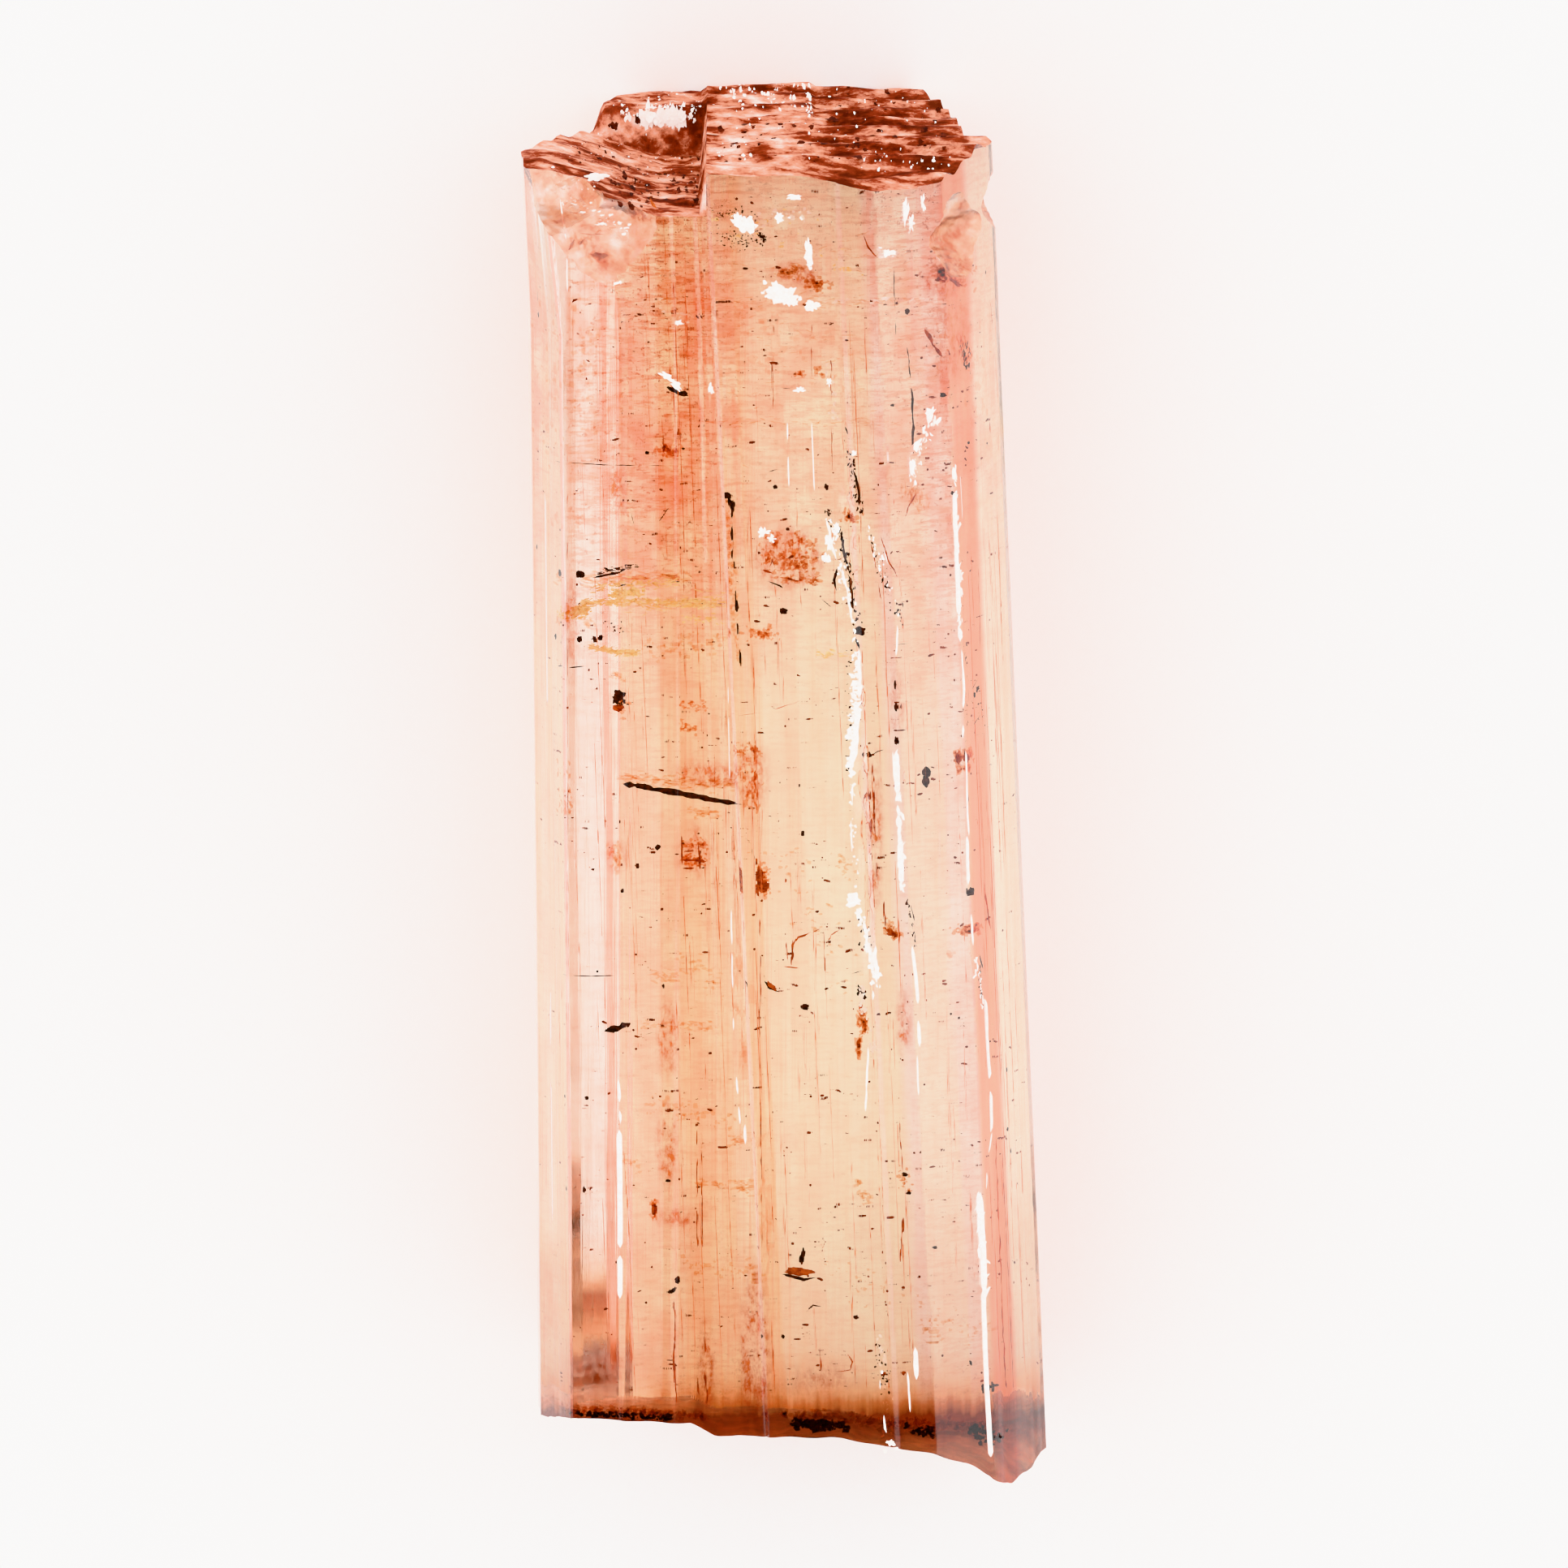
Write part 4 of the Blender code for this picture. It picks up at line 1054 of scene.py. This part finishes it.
# Films of brown stain, and the fine cross cracks near the head
BROWN_FLAKES = (
    (((898, 620), (904, 760)), 3.5, 120, 0.03, 0.06, 0.9, 1.3),
    (((906, 760), (911, 822)), 2, 30, 0.025, 0.06, 0.9, 1.3),
    (((760, 1045), (762, 1068)), 6, 50, 0.04, 0.06, 0.9, 1.4),
    (((1112, 600), (1128, 625)), 7, 50, 0.03, 0.10, 0.6, 1.2),
    (((960, 338), (985, 332)), 6, 40, 0.07, 0.05, 0.5, 1.0),
    (((720, 714), (850, 710)), 6, 130, 0.12, 0.025, 0.8, 1.6),
    (((770, 958), (905, 968)), 6, 150, 0.10, 0.025, 0.5, 1.4),
    (((850, 1000), (888, 1004)), 5, 50, 0.07, 0.03, 1.4, 2.4),
    (((905, 1460), (925, 1465)), 6, 50, 0.06, 0.03, 1.0, 2.0),
    (((855, 1455), (895, 1462)), 4, 40, 0.06, 0.025, 1.0, 2.0),
    (((908, 1400), (912, 1410)), 6, 24, 0.06, 0.03, 1.0, 2.0),
    (((1058, 1458), (1068, 1478)), 5, 30, 0.05, 0.04, 0.8, 1.4),
    (((800, 800), (890, 785)), 12, 80, 0.05, 0.05, 1.0, 2.4),
    (((805, 1200), (832, 1205)), 5, 30, 0.07, 0.03, 1.0, 1.6),
    (((760, 1420), (786, 1440)), 5, 16, 0.05, 0.04, 1.0, 1.6),
    (((1030, 1050), (1045, 1075)), 6, 24, 0.05, 0.03, 0.5, 1.0),
    (((840, 1565), (940, 1570)), 8, 40, 0.05, 0.04, 0.8, 2.0),
    (((925, 1555), (935, 1585)), 5, 40, 0.05, 0.04, 0.8, 1.4),
    (((1020, 1560), (1100, 1600)), 16, 36, 0.04, 0.03, 0.8, 2.0),
    (((1140, 1630), (1150, 1655)), 6, 24, 0.05, 0.03, 0.8, 1.4),
    (((790, 330), (1150, 330)), 40, 160, 0.08, 0.012, 0.3, 3.0),
    (((780, 440), (1140, 450)), 60, 200, 0.07, 0.012, 0.3, 3.0),
    (((800, 370), (1130, 374)), 5, 110, 0.09, 0.014, 0.3, 2.0),
    (((880, 520), (1100, 522)), 4, 70, 0.08, 0.012, 0.3, 2.0),
    (((700, 400), (700, 560)), 40, 70, 0.06, 0.05, 0.5, 2.5),
    (((718, 765), (730, 768)), 4, 20, 0.04, 0.04, 1.0, 1.5),
    (((755, 832), (770, 834)), 4, 26, 0.04, 0.04, 1.0, 1.5),
    (((960, 1040), (1045, 1220)), 24, 70, 0.05, 0.03, 0.5, 2.0),
    (((795, 1260), (880, 1266)), 6, 50, 0.07, 0.03, 0.8, 2.0),
    (((800, 1360), (900, 1380)), 10, 60, 0.05, 0.05, 0.8, 2.0),
    (((840, 1180), (890, 1215)), 12, 50, 0.06, 0.03, 0.8, 2.0),
    (((1120, 1600), (1190, 1650)), 12, 30, 0.05, 0.04, 0.8, 2.0),
)
# Films of salmon stain
SALMON_FLAKES = (
    (((800, 300), (870, 420)), 26, 50, 0.10, 0.08, 1.0, 3.5),
    (((1145, 300), (1190, 520)), 14, 50, 0.08, 0.12, 0.5, 2.0),
    (((880, 340), (1040, 480)), 30, 50, 0.09, 0.06, 1.0, 3.5),
    (((720, 400), (745, 540)), 22, 40, 0.08, 0.10, 1.0, 3.0),
    (((905, 1160), (922, 1340)), 7, 30, 0.04, 0.25, 1.0, 2.0),
    (((940, 1400), (945, 1600)), 5, 20, 0.03, 0.30, 1.0, 2.0),
    (((710, 640), (712, 655)), 5, 8, 0.06, 0.08, 1.0, 1.6),
    (((1160, 1175), (1166, 1178)), 4, 8, 0.06, 0.05, 0.8, 1.2),
)
DARK_FLAKES = (
    (((885, 262), (930, 268)), 8, 70, 0.016, 0.016, 0.1, 0.5),
    (((885, 290), (935, 300)), 10, 110, 0.016, 0.016, 0.1, 0.5),
    (((936, 285), (940, 298)), 4, 30, 0.026, 0.030, 0.1, 0.4),
    (((746, 770), (772, 780)), 8, 26, 0.022, 0.022, 1.0, 1.5),
    (((740, 706), (786, 698)), 3, 40, 0.07, 0.018, 1.0, 1.8),
    (((755, 862), (772, 864)), 4, 30, 0.03, 0.04, 0.6, 0.9),
    (((1034, 650), (1046, 700), (1058, 770)), 4, 60, 0.026, 0.040, 0.05, 0.2),
    (((1048, 560), (1060, 635)), 4, 50, 0.020, 0.04, 0.1, 0.4),
    (((1050, 800), (1046, 950)), 5, 40, 0.030, 0.018, 0.0, 0.1),
    (((1070, 660), (1110, 770)), 4, 50, 0.018, 0.030, 0.2, 0.6),
    (((1188, 790), (1190, 920)), 3, 30, 0.016, 0.04, 0.0, 0.1),
    (((1203, 1180), (1210, 1240)), 3, 36, 0.022, 0.035, 0.0, 0.1),
    (((1058, 1215), (1064, 1230)), 3, 30, 0.03, 0.03, 0.2, 0.5),
    (((1082, 1650), (1092, 1720)), 6, 40, 0.020, 0.025, 0.1, 0.5),
    (((1198, 835), (1210, 905)), 6, 26, 0.030, 0.016, 0.1, 0.3),
    (((1020, 628), (1030, 660)), 3, 26, 0.020, 0.030, 0.0, 0.1),
    (((1178, 420), (1184, 460)), 3, 40, 0.022, 0.05, 0.5, 0.8),
    (((1060, 1130), (1072, 1175)), 4, 40, 0.020, 0.030, 0.0, 0.1),
    (((1118, 1105), (1128, 1165)), 2, 26, 0.016, 0.035, 0.0, 0.1),
    (((710, 1742), (830, 1748)), 3, 90, 0.05, 0.04, 0.05, 0.8),
    (((978, 1752), (1042, 1758)), 4, 130, 0.06, 0.05, 0.05, 0.8),
    (((1195, 1760), (1230, 1775)), 6, 70, 0.06, 0.05, 0.05, 0.8),
    (((1120, 1762), (1150, 1766)), 5, 40, 0.05, 0.04, 0.05, 0.6),
)
# White flakes on and under the skin: partly frosted chips, partly painted glints
FROST_AND_GLINT_FLAKES = (
    (((945, 355), (985, 372)), 5, 40, 0.05, 0.05, -0.02, 0.0),
    (((905, 268), (928, 282)), 4, 16, 0.05, 0.05, -0.02, 0.0),
    (((996, 300), (998, 330)), 2, 14, 0.035, 0.06, -0.02, 0.0),
    (((685, 225), (780, 300)), 14, 60, 0.045, 0.025, -0.02, 0.1),
    (((1000, 372), (1150, 368)), 3, 40, 0.06, 0.022, 0.0, 0.3),
    (((1120, 600), (1150, 505)), 5, 40, 0.03, 0.06, -0.02, 0.0),
    (((1056, 800), (1048, 955)), 4, 100, 0.06, 0.05, -0.02, 0.0),
    (((1022, 635), (1056, 790)), 4, 46, 0.03, 0.05, -0.02, 0.0),
    (((1050, 960), (1052, 1100)), 4, 26, 0.03, 0.035, -0.02, 0.0),
    (((1062, 1130), (1080, 1215)), 3, 50, 0.04, 0.05, -0.02, 0.0),
    (((1105, 925), (1112, 1095)), 1.5, 50, 0.035, 0.10, -0.02, 0.0),
    (((1176, 575), (1184, 790)), 1.5, 60, 0.035, 0.10, -0.02, 0.0),
    (((1068, 650), (1108, 760)), 5, 26, 0.025, 0.04, -0.02, 0.0),
    (((1203, 1180), (1210, 1240)), 3, 26, 0.03, 0.05, -0.02, 0.0),
    (((1205, 1470), (1214, 1600)), 2.5, 60, 0.035, 0.16, -0.02, 0.0),
    (((930, 270), (1000, 262)), 8, 26, 0.05, 0.04, 0.0, 0.4),
    (((1085, 1640), (1095, 1785)), 5, 40, 0.035, 0.05, 0.0, 0.3),
    (((1020, 440), (1030, 520)), 5, 26, 0.03, 0.05, 0.1, 0.5),
    (((790, 360), (850, 400)), 12, 20, 0.05, 0.02, 0.1, 0.8),
    (((1080, 305), (1105, 318)), 5, 26, 0.05, 0.03, -0.02, 0.2),
    (((1060, 1215), (1076, 1300)), 4, 40, 0.03, 0.05, 0.0, 0.2),
)
# Veils of flakes painted bright gold: their sparkle is painted into the colour
GOLD_GLINT_FLAKES = (
    (((702, 756), (722, 750)), 5, 130, 0.05, 0.03, 0.2, 0.6),
    (((720, 742), (895, 744)), 4, 260, 0.09, 0.020, 0.2, 0.8),
    (((755, 732), (790, 729)), 4, 110, 0.05, 0.035, 0.2, 0.6),
    (((730, 724), (840, 716)), 5, 110, 0.07, 0.018, 0.2, 0.8),
    (((725, 797), (785, 806)), 3, 120, 0.08, 0.022, 0.2, 0.6),
    (((840, 760), (890, 765)), 5, 36, 0.05, 0.022, 0.3, 1.0),
    (((780, 750), (895, 736)), 6, 90, 0.10, 0.014, 0.2, 0.8),
    (((1005, 805), (1045, 808)), 3, 24, 0.06, 0.02, 0.6, 1.4),
    (((900, 268), (1060, 330)), 20, 40, 0.04, 0.03, 0.6, 2.0),
)


def build_grains(name, rows, material, lumps):
    bm = bmesh.new()
    for number, (px, py, depth, across, along, turn) in enumerate(rows):
        centre = inside(px, py, depth)
        add_grain(bm, centre, (across, along, 0.6 * min(across, along)), math.radians(turn), 3, lumps, number)
    return add_piece(name, bm, material)


THREAD_STEP = 0.11
SKIN_DEPTH = -0.012      # threads on the skin stand out of it a little


def build_threads(name, rows, material, on_skin=False):
    """Rows hold a path and a half width, then a depth and how broken it is. On the skin, the last two are
    how broken it is and how ragged."""
    bm = bmesh.new()
    for number, (path, width, *rest) in enumerate(rows):
        depth, broken, ragged = (SKIN_DEPTH, *rest) if on_skin else (*rest, 1.0)
        add_streak(bm, path, width, depth, number * 3.3, broken, THREAD_STEP, ragged)
    return add_piece(name, bm, material)


def along_path(path, share):
    """The point at a share of a path's length."""
    lengths = [math.dist(a, b) for a, b in zip(path, path[1:])]
    left = share * sum(lengths)
    for a, b, length in zip(path, path[1:], lengths):
        if left <= length:
            return mix(a[0], b[0], left / length), mix(a[1], b[1], left / length)
        left -= length
    return path[-1]


# Pixels that keep the flakes inside the crystal: its left side, its right side at the row FLAKES_TOP, and how
# much that side leans
FLAKES_LEFT = 664
FLAKES_RIGHT = 1210
FLAKES_TOP = 300
FLAKES_LEAN = 0.035
FLAKE_TILT = 0.4
FLAT_ABOVE = 0.05        # flakes on the skin, down to this depth, lie flat in it


def build_flakes(name, rows, material, seed):
    rng = random.Random(seed)
    bm = bmesh.new()
    for path, spread, count, across, along, shallow, deep in rows:
        narrow = min(across, along)
        tilted = deep > FLAT_ABOVE
        for number in range(count):
            px, py = along_path(path, rng.random())
            px, py = px + rng.gauss(0, 0.7) * spread, py + rng.gauss(0, 0.7) * spread
            px = min(max(px, FLAKES_LEFT), FLAKES_RIGHT + FLAKES_LEAN * (py - FLAKES_TOP))
            centre = inside(px, py, rng.uniform(shallow, deep))
            size, turn = rng.uniform(0.35, 1.4), rng.gauss(0, 0.3)
            spin = Matrix.Rotation(turn, 3, "Z")
            reach_x = Vector((across * size, 0.0, rng.uniform(-FLAKE_TILT, FLAKE_TILT) * narrow * tilted))
            reach_y = Vector((0.0, along * size, rng.uniform(-FLAKE_TILT, FLAKE_TILT) * narrow * tilted))
            add_flake(bm, centre, spin @ reach_x, spin @ reach_y, 0.004, number * 0.7, 1.1, 7)
    return add_piece(name, bm, material)


# White flakes on the skin, painted as glints
def build_glints(material):
    bm = bmesh.new()
    for number, (px, py, across, along, turn) in enumerate(SKIN_GLINTS):
        spin = Matrix.Rotation(math.radians(turn), 3, "Z")
        reach = spin @ Vector((across, 0.0, 0.0)), spin @ Vector((0.0, along, 0.0))
        add_flake(bm, on_front(px, py, 0.01), *reach, 0.012, number * 1.7, 0.9, 26)
    return add_piece("frost_glints", bm, material)


# Painted glints and dark pits on the head break: left, top, right and bottom in pixels, count, half sizes
# across and in depth
BREAK_GLINTS = (
    (790, 137, 844, 152, 190, 0.09, 0.22), (766, 130, 868, 158, 120, 0.05, 0.10),
    (750, 112, 870, 132, 60, 0.05, 0.06), (872, 104, 1000, 135, 110, 0.05, 0.12),
    (994, 104, 1001, 146, 40, 0.04, 0.10), (700, 165, 870, 235, 150, 0.025, 0.05),
    (1000, 110, 1160, 200, 120, 0.03, 0.08), (870, 135, 1010, 200, 70, 0.03, 0.08),
    (1060, 196, 1180, 210, 60, 0.05, 0.10), (880, 186, 930, 200, 26, 0.05, 0.08),
)
BREAK_PITS = (
    (750, 152, 760, 160, 26, 0.06, 0.12), (784, 145, 790, 152, 18, 0.05, 0.10),
    (750, 205, 870, 255, 170, 0.07, 0.16), (700, 172, 870, 200, 70, 0.05, 0.12),
    (1010, 108, 1170, 200, 130, 0.10, 0.14), (880, 150, 1010, 200, 60, 0.10, 0.10),
    (1030, 178, 1080, 186, 26, 0.10, 0.08),
)


HIGHEST_MARK = 8.25
SLOPE_STEP = 0.05        # to each side of a mark, where the slope under it is read


def build_break_marks(name, rows, material, seed):
    rng = random.Random(seed)
    bm = bmesh.new()
    joint = corner_at(JOINT, SHAFT_LENGTH).x
    for left, top, right, bottom, count, across, deep in rows:
        for number in range(count):
            spot = on_break(rng.uniform(left, right), rng.uniform(top, bottom))
            if spot is None or spot.z > HIGHEST_MARK or abs(spot.x - joint) < RIM_MARGIN:
                continue
            size = rng.uniform(0.25, 1.0)
            rise = head_level(spot.x + SLOPE_STEP, spot.z) - head_level(spot.x - SLOPE_STEP, spot.z)
            tip = head_level(spot.x, spot.z + SLOPE_STEP) - head_level(spot.x, spot.z - SLOPE_STEP)
            reach_x = Vector((2 * SLOPE_STEP, rise, 0.0)).normalized() * across * size
            reach_z = Vector((0.0, tip, 2 * SLOPE_STEP)).normalized() * deep * size
            add_flake(bm, spot, reach_x, reach_z, 0.012, number * 0.9, 1.0, 8)
    return add_piece(name, bm, material)


# Bundles of fine growth lines: left and right ends across, top and bottom, count, half width
GROWTH_LINES = (
    (800, 900, 260, 1730, 46, 0.008), (900, 940, 620, 1730, 26, 0.010), (945, 1045, 400, 1720, 26, 0.006),
    (1045, 1110, 360, 1730, 40, 0.007), (1110, 1175, 600, 1720, 16, 0.005),
    (1195, 1214, 640, 1700, 46, 0.014), (706, 800, 560, 1720, 22, 0.006), (662, 698, 260, 1700, 16, 0.005),
    (1222, 1240, 420, 1700, 12, 0.006),
)


# In pixels of the photograph, but for the lean and the depth
LINE_LENGTHS = (60, 110, 200, 340)
UPRIGHT_BEFORE = 800
LINE_LEAN = 0.042
LEAN_MIDDLE = 1000
SIDE_BEFORE = 700
SIDE_AFTER = 1200
SIDE_LINE_DEPTH = 0.06


def build_growth_lines(material):
    rng = random.Random(SEED + 90)
    bm = bmesh.new()
    for left, right, top, bottom, count, width in GROWTH_LINES:
        for number in range(count):
            px, py = rng.uniform(left, right), rng.uniform(top, bottom)
            long = rng.choice(LINE_LENGTHS)
            low, high = max(top, py - long / 2), min(bottom, py + long / 2)
            lean = 0.0 if right < UPRIGHT_BEFORE else LINE_LEAN
            path = ((px + lean * (low - LEAN_MIDDLE), low), (px + lean * (high - LEAN_MIDDLE), high))
            on_side = not SIDE_BEFORE < left < SIDE_AFTER
            depth = SIDE_LINE_DEPTH if on_side else rng.uniform(0.05, 2.5)
            add_streak(bm, path, width * rng.uniform(0.6, 1.5), depth, number * 1.9, 0.12, 0.35, 0.5)
    return add_piece("growth_lines", bm, material)


SPECK_COUNT = 2000
SPECK_AREA = ((668, 1250), (230, 1715), (0.2, 5.0))   # columns and rows of the photograph, and depths
SPECK_RIGHT = 1200       # the crystal's right side at the row SPECK_TOP, in pixels, and its lean
SPECK_TOP = 250
SPECK_LEAN = 0.035
SPECK_THIN_BEFORE = 712  # the thin left edge, and how deep the specks go in it
SPECK_THIN_DEPTH = 2.0


def build_specks():
    """Tiny rusty specks through the crystal, thicker in some layers than others."""
    rng = random.Random(SEED + 50)
    bm = bmesh.new()
    made = 0
    while made < SPECK_COUNT:
        px, py, depth = (rng.uniform(*limits) for limits in SPECK_AREA)
        too_deep = px < SPECK_THIN_BEFORE and depth > SPECK_THIN_DEPTH
        if px > SPECK_RIGHT + (py - SPECK_TOP) * SPECK_LEAN or too_deep:
            continue
        if noise.noise(Vector((px / 120, py / 60, 5.0))) < rng.uniform(-0.6, 0.45):
            continue
        size = rng.choice((0.011, 0.013, 0.016, 0.022, 0.036))
        long = rng.choice((1.0, 1.0, 1.5, 2.6))
        add_grain(bm, inside(px, py, depth), (size * long, size, size), rng.uniform(-0.5, 0.5), 1, 0.5, made)
        made += 1
    return add_piece("specks", bm, plain_material("speck", (0.25, 0.05, 0.02), 0.5, (0.10, 0.02, 0.01)))


def build_inclusions_and_glints():
    dark = plain_material("dark_grain", (0.012, 0.004, 0.003), 0.5, (0.06, 0.012, 0.005))
    rust = plain_material("rust", (0.50, 0.12, 0.035), 0.6, (0.26, 0.045, 0.014))
    rust_film = tint_material("rust_film", (0.84, 0.56, 0.42))
    brown_film = tint_material("brown_film", (0.93, 0.76, 0.64))
    salmon = tint_material("salmon_film", (0.98, 0.86, 0.80))
    # The white frost material is partly frosted chips and partly painted glints and reflections
    frost_and_glint = plain_material("frost_and_glint", (1.0, 0.98, 0.96), 0.5, (0.97, 0.92, 0.88))
    # The gold material is a painted glint: bright gold for the veils' sparkle
    gold_glint = plain_material("gold_glint", (1.0, 0.93, 0.62), 0.35, (1.0, 0.76, 0.34))
    hair = plain_material("growth_line", (0.80, 0.34, 0.18), 0.5, (0.60, 0.20, 0.10))
    build_grains("dark_grains", DARK_GRAINS, dark, 0.6)
    build_grains("rust_grains", RUST_GRAINS, rust, 0.8)
    build_threads("dark_threads", DARK_THREADS, dark)
    build_threads("rust_threads", RUST_THREADS, rust)
    build_threads("frost_and_glint_threads", WHITE_THREADS, frost_and_glint, on_skin=True)
    build_flakes("rust_flakes", RUST_FLAKES, rust_film, 71)
    build_flakes("brown_flakes", BROWN_FLAKES, brown_film, 76)
    build_flakes("salmon_flakes", SALMON_FLAKES, salmon, 72)
    build_flakes("dark_flakes", DARK_FLAKES, dark, 73)
    build_flakes("frost_and_glint_flakes", FROST_AND_GLINT_FLAKES, frost_and_glint, 74)
    build_flakes("gold_glint_flakes", GOLD_GLINT_FLAKES, gold_glint, 75)
    build_glints(frost_and_glint)
    # The break glints are white flakes painted on the head break as highlights
    build_break_marks("break_glints", BREAK_GLINTS, frost_and_glint, 81)
    pit = plain_material("break_pit", (0.030, 0.003, 0.001), 0.6, (0.12, 0.015, 0.005))
    build_break_marks("break_pits", BREAK_PITS, pit, 82)
    build_growth_lines(hair)
    build_specks()


# Floor, light and camera

FLOOR_SIZE = 1.5         # metres
FLOOR_DROP = 0.00002
FLOOR_COLOUR = (0.93, 0.925, 0.92, 1.0)


def build_floor():
    bm = bmesh.new()
    bmesh.ops.create_grid(bm, x_segments=1, y_segments=1, size=FLOOR_SIZE)
    floor = new_object("floor", bm)
    floor.location.z = -FLOOR_DROP
    nodes = Nodes("floor")
    nodes.set(Base_Color=FLOOR_COLOUR, Roughness=0.7)
    floor.data.materials.append(nodes.material)


CLEAR_BOUNCES = 14
GLOSSY_BOUNCES = 6
DIFFUSE_BOUNCES = 4
EXPOSURE = 0.82
DOME_STRENGTH = 1.16
# Brightness of the dome, by the cosine from the card's middle
DOME = ((0.0, 1.0), (0.90, 1.0), (0.950, 0.85), (0.972, 0.06), (1.0, 0.03))


def build_light():
    """A soft white dome with a dark card in it, where the front face mirrors it to the camera."""
    world = bpy.data.worlds.new("studio")
    bpy.context.scene.world = world
    world.use_nodes = True
    world.cycles.sampling_method = "NONE"
    tree = world.node_tree
    background = tree.nodes["Background"]
    coords = tree.nodes.new("ShaderNodeTexCoord")
    toward_card = tree.nodes.new("ShaderNodeVectorMath")
    toward_card.operation = "DOT_PRODUCT"
    toward_card.inputs[1].default_value = (0.0, -AWAY.y, AWAY.z)
    tree.links.new(coords.outputs["Generated"], toward_card.inputs[0])
    card = tree.nodes.new("ShaderNodeValToRGB")
    tree.links.new(toward_card.outputs["Value"], card.inputs["Fac"])
    set_stops(card, DOME)
    tree.links.new(card.outputs["Color"], background.inputs["Color"])
    background.inputs["Strength"].default_value = DOME_STRENGTH


def build_camera():
    camera = bpy.data.cameras.new("camera")
    camera.lens, camera.sensor_width = CAMERA_LENS, SENSOR
    camera.clip_start, camera.clip_end = 0.01, 10.0
    holder = bpy.data.objects.new("camera", camera)
    pose = Matrix((RIGHT, UP, AWAY)).transposed().to_4x4()
    pose.translation = place(EYE)
    holder.matrix_world = pose
    bpy.context.scene.collection.objects.link(holder)
    bpy.context.scene.camera = holder


build_camera()
build_light()
build_floor()
crystal = build_crystal((
    clear_material(),
    break_material("head_break", HEAD_STAINS_AND_GLINT, HEAD_LIFTS, (1.7, 1.7, 4.2), 0.5, 0.2, BREAK_IOR),
    break_material("foot_break", FOOT_STAINS, FOOT_LIFTS, (1.6, 1.6, 1.8), 0.5, 0.8, BREAK_IOR),
    break_material("chip_scar", SCAR_STAINS, SCAR_LIFTS, (2.0, 2.0, 2.0), 0.25, 0.85, TOPAZ_IOR),
))
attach(crystal, "root")
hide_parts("crystal")
build_inclusions_and_glints()

scene = bpy.context.scene
scene.cycles.blur_glossy = 0.0
scene.cycles.max_bounces = CLEAR_BOUNCES
scene.cycles.transmission_bounces = CLEAR_BOUNCES
scene.cycles.glossy_bounces = GLOSSY_BOUNCES
scene.cycles.diffuse_bounces = DIFFUSE_BOUNCES
scene.view_settings.view_transform = "Khronos PBR Neutral"
scene.view_settings.exposure = EXPOSURE
